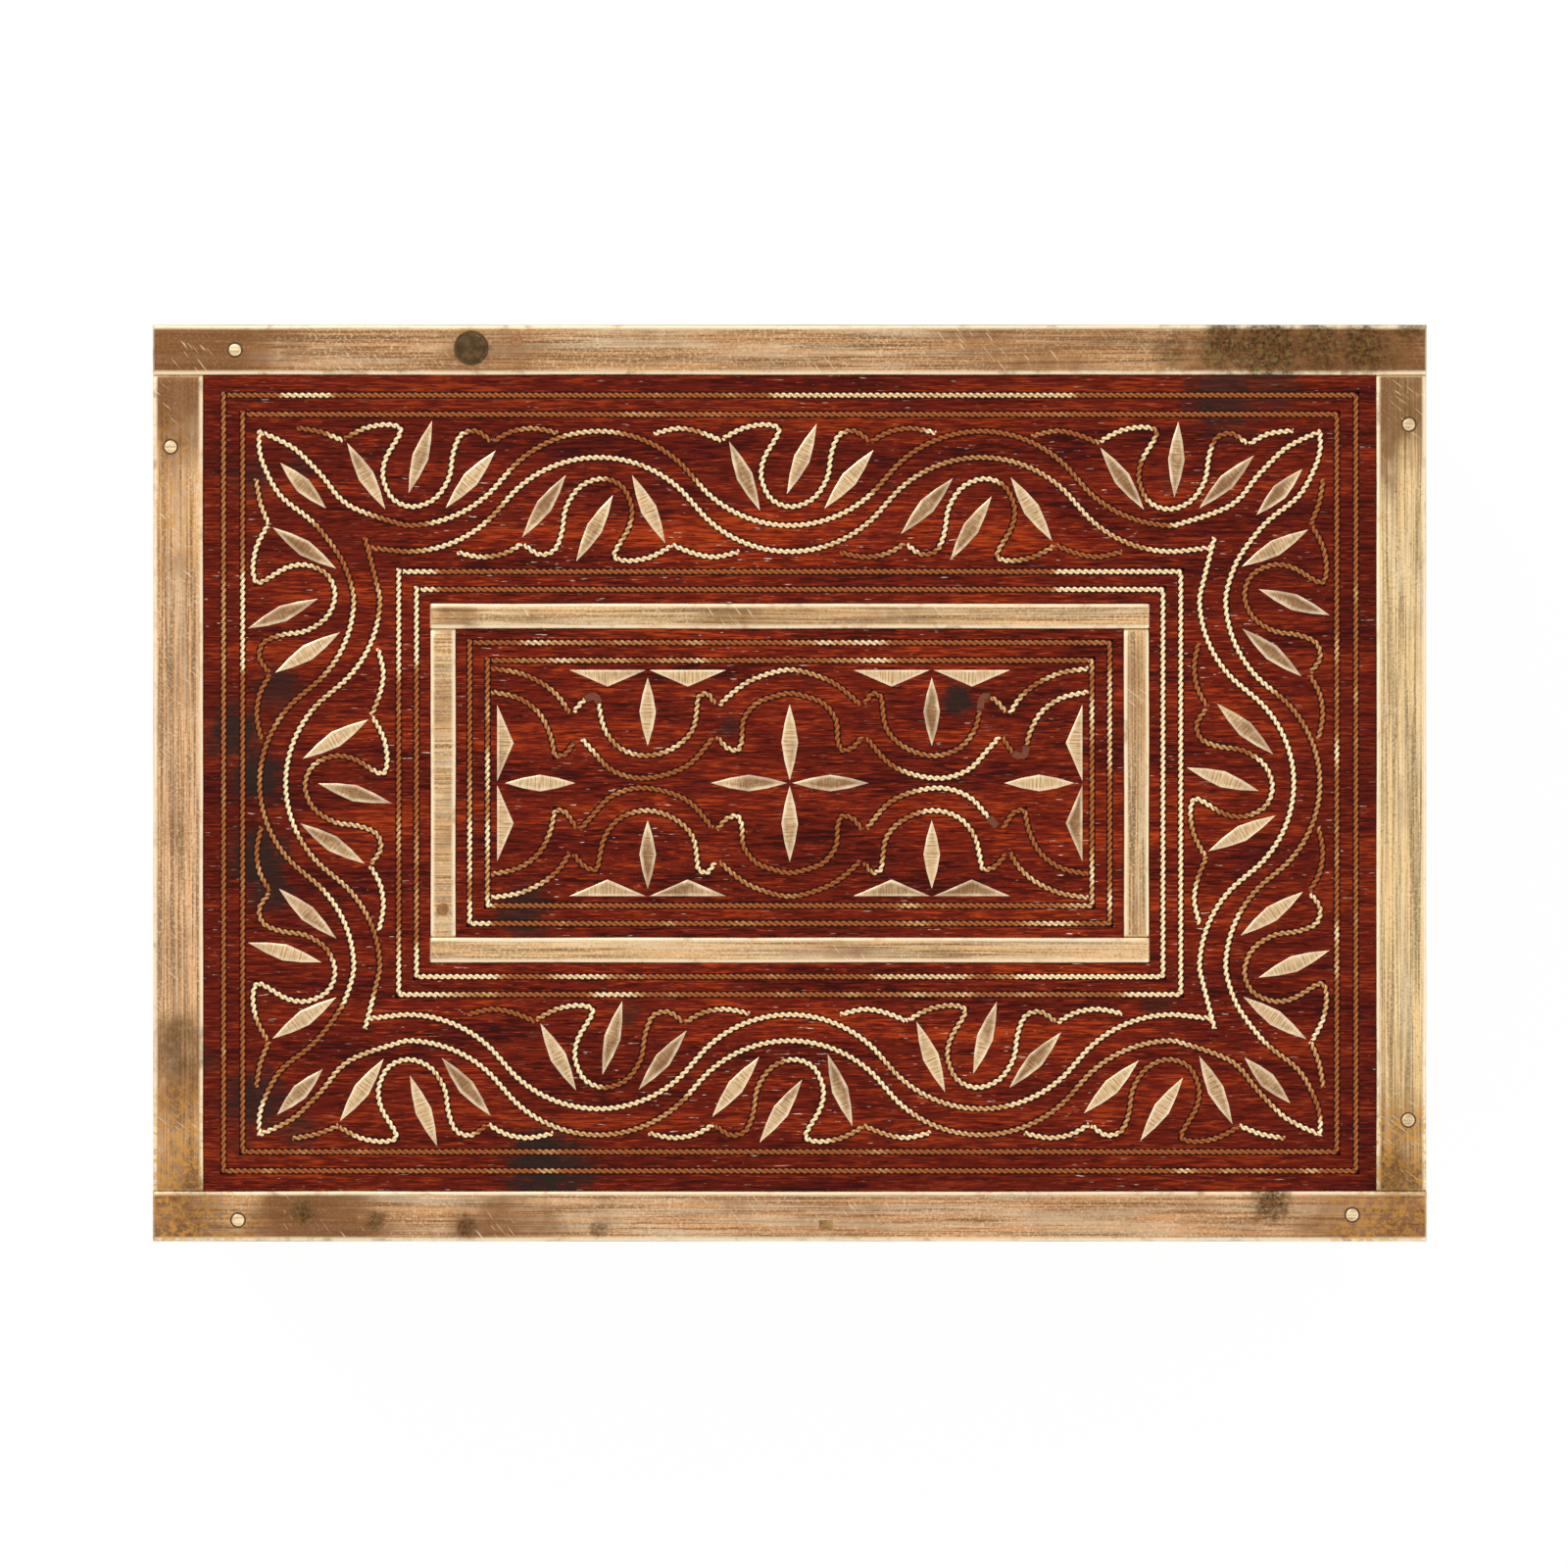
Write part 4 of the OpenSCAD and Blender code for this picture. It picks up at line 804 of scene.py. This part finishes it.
def worn_strip(node, normal, material):
    """Strips with rounded, slightly wandering edges in place of the flat ones of a CAD node."""
    wander = bpy.context.scene.brass_finish.edge_wander
    ease, row_gap, end_gap, end_drop = 0.42 * MM, 1.2 * MM, 0.35 * MM, 0.25 * MM
    nick_depth, dent_depth, nearly = 0.03 * MM, 0.02 * MM, 1e-9
    points, faces, rim = [], [], []
    for number, (start, along, length, across, width, depth) in enumerate(strip_spans(node, normal)):
        # How far in from its side, how high, and how much of the pale rim: painted highlight over rubbed wear
        worn = [(0, -depth, 0.2), (0, -ease, 0.9), (0.09 * MM, -0.3 * ease, 1.0),
                (0.5 * ease, -0.04 * MM, 1.0), (1.1 * ease, 0, 0.75), (2 * ease, 0, 0.0)]
        half = width / 2
        profile = worn + [(half, 0.0, 0.0)] + [(width - a, h, r) for a, h, r in reversed(worn)]
        count = max(int(length / row_gap), 2)
        # Whether a row is at an end, and where along the strip it is
        rows = [(True, 0.0), (False, end_gap), *((False, length * k / count) for k in range(1, count)),
                (False, length - end_gap), (True, length)]
        first, m = len(points), len(profile)
        for at_end, s in rows:
            t = s / MM
            for a, h, r in profile:
                far = a > half
                sideways = uneven(t * 0.05, number * 3.1 + 7 * far, 1.7)
                nick = uneven(t * 0.6, number + 9 * far, 5.1)
                inward = wander * (0.5 + 0.5 * sideways) + nick_depth * max(nick, 0)
                a += inward if a < half - nearly else -inward if a > half + nearly else 0
                dent = dent_depth * uneven(t * 0.12, a / MM * 0.3, number + 2.5)
                height = h - (end_drop if at_end else 0.0) + min(dent, 0)
                points.append(start + along * s + across * a + normal * height)
                rim.append(max(r, 0.9 if at_end else 0.0))
        faces += quads(first, len(rows) - 1, m, closed=False)
        faces += [tuple(range(a, a + m)) for a in (first, first + (len(rows) - 1) * m)]
    body = "lid" if normal is UP else "case"
    piece = mesh_piece("worn_" + node, points, faces, [material], body, [node], "brass_strip", rim=rim)
    tidy_normals(piece)
    return piece


def tidy_normals(piece):
    """Turns every face outwards."""
    mesh = bmesh.new()
    mesh.from_mesh(piece.data)
    bmesh.ops.recalc_face_normals(mesh, faces=mesh.faces)
    mesh.to_mesh(piece.data)
    mesh.free()


def trim_to_bevel(piece):
    """Cuts off what stands over the bevel of the case's back edge, where the lid leans."""
    board, _ = solids_of("back_board")
    face = max((f for f in board.faces if f.normal.y > 0.3 and f.normal.z > 0.3), key=lambda f: f.calc_area())
    point, normal = face.calc_center_median(), face.normal.copy()
    board.free()
    mesh = bmesh.new()
    mesh.from_mesh(piece.data)
    cut = bmesh.ops.bisect_plane(mesh, geom=mesh.verts[:] + mesh.edges[:] + mesh.faces[:], dist=1e-7,
                                 plane_co=point, plane_no=normal, clear_outer=True)
    bmesh.ops.contextual_create(mesh, geom=[e for e in cut["geom_cut"] if isinstance(e, bmesh.types.BMEdge)])
    mesh.to_mesh(piece.data)
    mesh.free()


def strip_spans(node, normal):
    """The spans of the flat strips in a CAD node, from the box of each: its start, the way
    along it, its length, the way across it, its width and the height of its face."""
    mesh, groups = solids_of(node)
    spans = []
    for group in groups:
        _, low, high = box_of(group)
        size = high - low
        flat = [i for i in range(3) if abs(normal[i]) < 0.5]
        run, wide = sorted(flat, key=lambda i: -size[i])
        thick = 3 - run - wide
        along, across = Vector(), Vector()
        along[run] = across[wide] = 1.0
        start = low.copy()
        start[thick] = high[thick] if normal[thick] > 0 else low[thick]
        spans.append((start, along, size[run], across, size[wide], size[thick]))
    mesh.free()
    return spans


def finish(node, material):
    """Gives a CAD node its finish."""
    NODES[node].data.materials.clear()
    NODES[node].data.materials.append(material)


def soften(node, width, material):
    """Rounds the edges of a CAD node and gives it its finish."""
    o = NODES[node]
    weld = o.modifiers.new("joined corners", "WELD")
    weld.merge_threshold = JOIN
    bevel = o.modifiers.new("eased edges", "BEVEL")
    bevel.width, bevel.segments, bevel.harden_normals = width, 2, True
    bevel.limit_method, bevel.angle_limit = "ANGLE", math.radians(40)
    finish(node, material)


def domes(name, node, normals, radius, proud, body, material, slot, rows=6, around=24, lift=0.0):
    """A low, slightly uneven head on each solid of a node, in a thin ring of dirt; normals
    gives which way each looks, and lift is how far it stands above its solid."""
    below, skirt, dirt_up = 0.02 * MM, 0.35 * MM, 0.012 * MM
    dirt_ring = (0.94, 1.16)        # where the dirt begins and ends, times the radius of the head
    mesh, groups = solids_of(node)
    points, faces, rim, kinds = [], [], [], []
    angles = [2 * math.pi * k / around for k in range(around)]
    for number, group in enumerate(groups):
        corners, low, high = box_of(group)
        normal = normals(sum(corners, Vector()) / len(corners))
        top = max(c.dot(normal) for c in corners)
        centre = (low + high) / 2
        centre += normal * (top + lift - centre.dot(normal))
        flush = any(math.hypot(centre.x - x * MM, centre.y - y * MM) < PIN_REACH for x, y in FLUSH_PINS)
        side = UP.cross(normal) if abs(normal.z) < 0.5 else Vector((1, 0, 0))
        other = normal.cross(side)
        first = len(points) + 1
        points.append(centre - normal * below)
        rim.append(0.25)
        square = 0.5 if number % 5 == 2 else 0.12       # how far the head is from round
        for row in range(1, rows + 1):
            t = row / rows
            drop = proud + skirt if row == rows else below + proud * (t ** 5)
            for a in angles:
                hand_cut = 1 - 0.05 * (1 + uneven(math.cos(a), math.sin(a), number * 2.3))
                hand_cut *= 1 - square * 0.14 * (1 - abs(math.cos(2 * a + number)))
                r = radius * hand_cut * min(t * 1.12, 1.0)
                points.append(centre + side * r * math.cos(a) + other * r * math.sin(a) - normal * drop)
                # The outer ring of each head is painted pale: painted highlight over rubbed wear
                rim.append(0.15 if t < 0.75 or flush else 1.0)
        faces += [(first - 1, first + k, first + (k + 1) % around) for k in range(around)]
        faces += quads(first, rows - 1, around)
        faces.append(tuple(range(len(points) - around, len(points)))[::-1])
        kinds += [2 if flush else 0] * (len(faces) - len(kinds))
        if flush:
            continue
        first = len(points)
        for reach in dirt_ring:
            for a in angles:
                points.append(centre + (side * math.cos(a) + other * math.sin(a)) * radius * reach
                              - normal * (proud - dirt_up))
                rim.append(0.0)
        faces += quads(first, 1, around)
        kinds += [1] * around
    mesh.free()
    brown = finished("brown_brass", old_metal, linear("#A87850"), linear("#7A4E28"), 0.7, 0.45)
    materials = [material, finished("dirt", plug_face), brown]
    return mesh_piece(name, points, faces, materials, body, [node], slot, kinds, rim=rim)


def cut_sheet(node):
    """Lozenges with a low ridge and eased edges, each brushed across its length."""
    # How far in from its edge, how high, both in millimetres, and how much of the pale rim: painted highlight
    # over rubbed wear
    profile = ((0, -0.5, 0.5), (0, -0.05, 1.0), (0.2, 0.0, 0.9), (0.62, 0.004, 0.0))
    ridge, thin = 0.05 * MM, 1e-10
    apart = 30              # millimetres between lozenges in the map that the brushing follows
    mesh, groups = solids_of(node)
    points, faces, rim, dull, uv = [], [], [], [], []
    for number, group in enumerate(groups):
        path = outline(group, UP)
        path = [p for i, p in enumerate(path)
                if (path[i - 1] - p).cross(path[(i + 1) % len(path)] - p).length > thin]
        centre = sum(path, Vector()) / len(path)
        far = max((p - q for p in path for q in path), key=lambda d: round(d.length, 7))
        along = far.normalized()
        across = UP.cross(along)
        half = far.length / 2
        tone = 0.5 + 0.5 * math.sin(number * 2.4 + centre.x * 55)
        # end_shade and side_shade darken one end and one side of each lozenge: painted shade, as on a lit and
        # a shaded facet
        end_shade, side_shade = math.sin(number * 1.7), math.sin(number * 2.9 + 1)
        first, m = len(points), len(path)
        flat_side = abs(sum((p - centre).dot(across) ** 3 for p in path)) > thin
        for inset, drop, edge in profile:
            for i, p in enumerate(path):
                before = (p - path[i - 1]).normalized()
                after = (path[(i + 1) % m] - p).normalized()
                inward = (UP.cross(before) + UP.cross(after)).normalized()
                reach = min(inset * MM / max(inward.dot(UP.cross(before)), 0.25), (p - centre).length * 0.8)
                q = p + inward * reach
                u, v = (q - centre).dot(along), (q - centre).dot(across)
                points.append(q + UP * drop * MM)
                rim.append(edge)
                dull.append(tone + (0.5 * end_shade * u + 1.1 * side_shade * v) / half)
                uv.append((u / MM + number * apart, v / MM))
        points.append(centre if flat_side else centre + UP * ridge)
        rim.append(0.0)
        dull.append(tone)
        uv.append((number * apart, 0.0))
        for row in range(3):
            for k in range(m):
                a, b, j = first + row * m, first + (row + 1) * m, (k + 1) % m
                faces.append((a + k, a + j, b + j, b + k))
        for k in range(m):
            faces.append((first + 3 * m + k, first + 3 * m + (k + 1) % m, first + 4 * m))
    mesh.free()
    brass = finished("lozenge_brass", lozenge_brass)
    piece = mesh_piece("cut_" + node, points, faces, [brass], "lid", [node], "brass_sheet", smooth=False,
                       rim=rim, dull=dull)
    layer = piece.data.uv_layers.new(name="brushing")
    for loop in piece.data.loops:
        layer.data[loop.index].uv = uv[loop.vertex_index]
    return piece


# ---------------------------------------------------------------- operators


class BOX_OT_boards(Operator):
    """Waxes the lid, the four walls and the bottom"""
    bl_idname = "inlaid_box.boards"
    bl_label = "Wooden boards"

    def execute(self, context):
        for node, material in (("lid_panel", lid_wood()), ("bottom_board", wood_along("X")),
                               ("front_board", wood_along("X")), ("back_board", wood_along("X")),
                               ("left_board", wood_along("Y")), ("right_board", wood_along("Y"))):
            finish(node, material)
        return {"FINISHED"}


class BOX_OT_edge_strips(Operator):
    """Lays the brass strips round the lid"""
    bl_idname = "inlaid_box.edge_strips"
    bl_label = "Strips round the lid"

    def execute(self, context):
        for side in WALLS:
            worn_strip("lid_strip_" + side, UP, strip_brass(axis_of(side), side))
        return {"FINISHED"}


class BOX_OT_frame_strips(Operator):
    """Lays the narrower strips of the inner frame"""
    bl_idname = "inlaid_box.frame_strips"
    bl_label = "Strips of the inner frame"

    def execute(self, context):
        for side in WALLS:
            axis = "Y" if side == "right" else "X"      # the left one is brushed across
            worn_strip("frame_strip_" + side, UP, strip_brass(axis, "inner"))
        return {"FINISHED"}


class BOX_OT_wall_strips(Operator):
    """Lays the rails and posts on the four walls"""
    bl_idname = "inlaid_box.wall_strips"
    bl_label = "Strips on the walls"

    def execute(self, context):
        for side, normal in WALLS.items():
            rails = worn_strip(side + "_rails", normal, strip_brass(axis_of(side), side))
            worn_strip(side + "_posts", normal, strip_brass("Z", side))
            if axis_of(side) == "Y":
                trim_to_bevel(rails)
        return {"FINISHED"}


class BOX_OT_border_ropes(Operator):
    """Lays the straight twisted wires round the lid and beside the inner frame"""
    bl_idname = "inlaid_box.border_ropes"
    bl_label = "Border wires"

    def execute(self, context):
        lay_wire("lid_edge_ropes", curved=False, dullness=0.54)
        lay_wire("frame_ropes_outside", curved=False, dullness=0.36)
        lay_wire("frame_ropes_inside", curved=False, dullness=0.34)
        return {"FINISHED"}


class BOX_OT_vine(Operator):
    """Lays the two twisted wires of the vine"""
    bl_idname = "inlaid_box.vine"
    bl_label = "Vine"

    def execute(self, context):
        lay_wire("vine_outer_wire", longer=(1.4,))
        lay_wire("vine_inner_wire", longer=(0, 1.7, 1.7, 0))
        return {"FINISHED"}


class BOX_OT_palmettes(Operator):
    """Lays the loops and tendrils of the palmettes"""
    bl_idname = "inlaid_box.palmettes"
    bl_label = "Palmettes"

    def execute(self, context):
        lay_wire("palmette_wires", longer=(0.6,))
        return {"FINISHED"}


class BOX_OT_scrolls(Operator):
    """Lays the scrolls of the inner field"""
    bl_idname = "inlaid_box.scrolls"
    bl_label = "Scrolls"

    def execute(self, context):
        lay_wire("scroll_wires", dullness=0.2, longer=(0.7,))
        return {"FINISHED"}


class BOX_OT_wall_ropes(Operator):
    """Lays the double border wires on the walls"""
    bl_idname = "inlaid_box.wall_ropes"
    bl_label = "Wires on the walls"

    def execute(self, context):
        for side, normal in WALLS.items():
            lay_wire(side + "_ropes", normal, curved=False, dullness=0.2)
        return {"FINISHED"}


class BOX_OT_lozenges(Operator):
    """Sets the brass lozenges of the vine and of the field"""
    bl_idname = "inlaid_box.lozenges"
    bl_label = "Lozenges"

    def execute(self, context):
        for node in ("vine_lozenges", "field_lozenges", "field_half_lozenges"):
            cut_sheet(node)
        return {"FINISHED"}


def face_up(_):
    """Which way all that is on the lid looks."""
    return UP


def wall_normal(middle):
    """Which way the wall nearest to a point looks."""
    low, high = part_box("bottom_board")
    reach = {"front": middle.y - low.y, "back": high.y - middle.y,
             "left": middle.x - low.x, "right": high.x - middle.x}
    return WALLS[min(reach, key=reach.get)]


class BOX_OT_pins(Operator):
    """Drives the brass pins and the dark plug"""
    bl_idname = "inlaid_box.pins"
    bl_label = "Pins and plug"

    def execute(self, context):
        pin = (1.075 * MM, 0.1 * MM)        # radius of the head, and how far it stands proud
        plug = (2.34 * MM, 0.05 * MM)
        domes("lid_pin_heads", "lid_strip_pins", face_up, *pin, "lid", pin_brass(), "brass_pins")
        domes("case_pin_heads", "case_strip_pins", wall_normal, *pin, "case", pin_brass(), "brass_pins")
        domes("plug_head", "lid_plug", face_up, *plug, "lid", finished("plug_face", plug_face), "dark_plug",
              rows=8, around=40, lift=0.14 * MM)
        return {"FINISHED"}


class BOX_OT_hinges(Operator):
    """Finishes the hinges, their pins and their screws"""
    bl_idname = "inlaid_box.hinges"
    bl_label = "Hinges"

    def execute(self, context):
        for side in ("left", "right"):
            for leaf in ("case", "lid"):
                soften(side + "_hinge_" + leaf + "_leaf", 0.12 * MM, fitting_brass())
            soften(side + "_hinge_pin", 0.15 * MM, forged_iron())
        for node in ("case_leaf_screws", "lid_leaf_screws"):
            soften(node, 0.05 * MM, fitting_brass())
        return {"FINISHED"}


class BOX_OT_lock(Operator):
    """Finishes the lock, its bolt, the staple and the keyhole plate"""
    bl_idname = "inlaid_box.lock"
    bl_label = "Lock"

    def execute(self, context):
        for node, width in (("lock_case", 0.2), ("lid_staple", 0.1), ("keyhole_plate", 0.1)):
            soften(node, width * MM, fitting_brass())
        soften("lock_bolt", 0.15 * MM, forged_iron())
        return {"FINISHED"}


class BOX_OT_nails(Operator):
    """Finishes the nails in the bottom"""
    bl_idname = "inlaid_box.nails"
    bl_label = "Bottom nails"

    def execute(self, context):
        soften("bottom_nails", 0.1 * MM, forged_iron())
        return {"FINISHED"}


class BOX_OT_stage(Operator):
    """Lays the pale floor and sets the lamps and the camera"""
    bl_idname = "inlaid_box.stage"
    bl_label = "Stage"

    def execute(self, context):
        scene, setting = context.scene, context.scene.stage_setting
        data = bpy.data.meshes.new("floor")
        corners = [Vector((x, y, 0)) * FLOOR_REACH for x, y in ((-1, -1), (1, -1), (1, 1), (-1, 1))]
        data.from_pydata(corners, [], [(0, 1, 2, 3)])
        data.materials.append(finished("white_floor", white_floor))
        floor = placed("floor", data)

        for name, place, size, share in LAMPS:
            lamp = bpy.data.lights.new(name, "AREA")
            lamp.shape, lamp.size, lamp.energy = "DISK", size, setting.key * share
            o = placed(name, lamp, place)
            o.rotation_euler = (LAMP_AIM - Vector(place)).to_track_quat("-Z", "Y").to_euler()
        scene.world = white_studio("studio", setting.fill)

        camera = bpy.data.cameras.new("camera")
        camera.sensor_width = SENSOR
        camera.lens = SENSOR * setting.camera_height / setting.frame_width
        camera.clip_start, camera.clip_end = 0.01, 20
        scene.camera = placed("camera", camera, (*setting.middle, LID_FACE + setting.camera_height))
        scene.view_settings.view_transform = "Standard"
        return {"FINISHED"}


OPERATORS = (BOX_OT_boards, BOX_OT_edge_strips, BOX_OT_frame_strips, BOX_OT_wall_strips, BOX_OT_border_ropes,
             BOX_OT_vine, BOX_OT_palmettes, BOX_OT_scrolls, BOX_OT_wall_ropes, BOX_OT_lozenges, BOX_OT_pins,
             BOX_OT_hinges, BOX_OT_lock, BOX_OT_nails, BOX_OT_stage)
SETTINGS = (("wood_finish", WoodFinish), ("brass_finish", BrassFinish), ("wire_shape", WireShape),
            ("stage_setting", StageSetting))


class BOX_PT_panel(Panel):
    """The box's finishes and the steps that make it"""
    bl_idname = "BOX_PT_panel"
    bl_label = "Inlaid box"
    bl_space_type = "VIEW_3D"
    bl_region_type = "UI"
    bl_category = "Inlaid box"

    def draw(self, context):
        for name, group in SETTINGS:
            column = self.layout.column(align=True)
            column.label(text=name.replace("_", " ").capitalize())
            for key in group.__annotations__:
                column.prop(getattr(context.scene, name), key)
        for operator in OPERATORS:
            self.layout.operator(operator.bl_idname)


def register():
    for name, group in SETTINGS:
        bpy.utils.register_class(group)
        setattr(bpy.types.Scene, name, PointerProperty(type=group))
    for one in OPERATORS + (BOX_PT_panel,):
        bpy.utils.register_class(one)


def unregister():
    for one in reversed(OPERATORS + (BOX_PT_panel,)):
        bpy.utils.unregister_class(one)
    for name, group in reversed(SETTINGS):
        delattr(bpy.types.Scene, name)
        bpy.utils.unregister_class(group)


def main():
    register()
    for operator in OPERATORS:
        group, name = operator.bl_idname.split(".")
        getattr(getattr(bpy.ops, group), name)()
    bpy.context.view_layer.update()


if __name__ == "__main__":
    main()
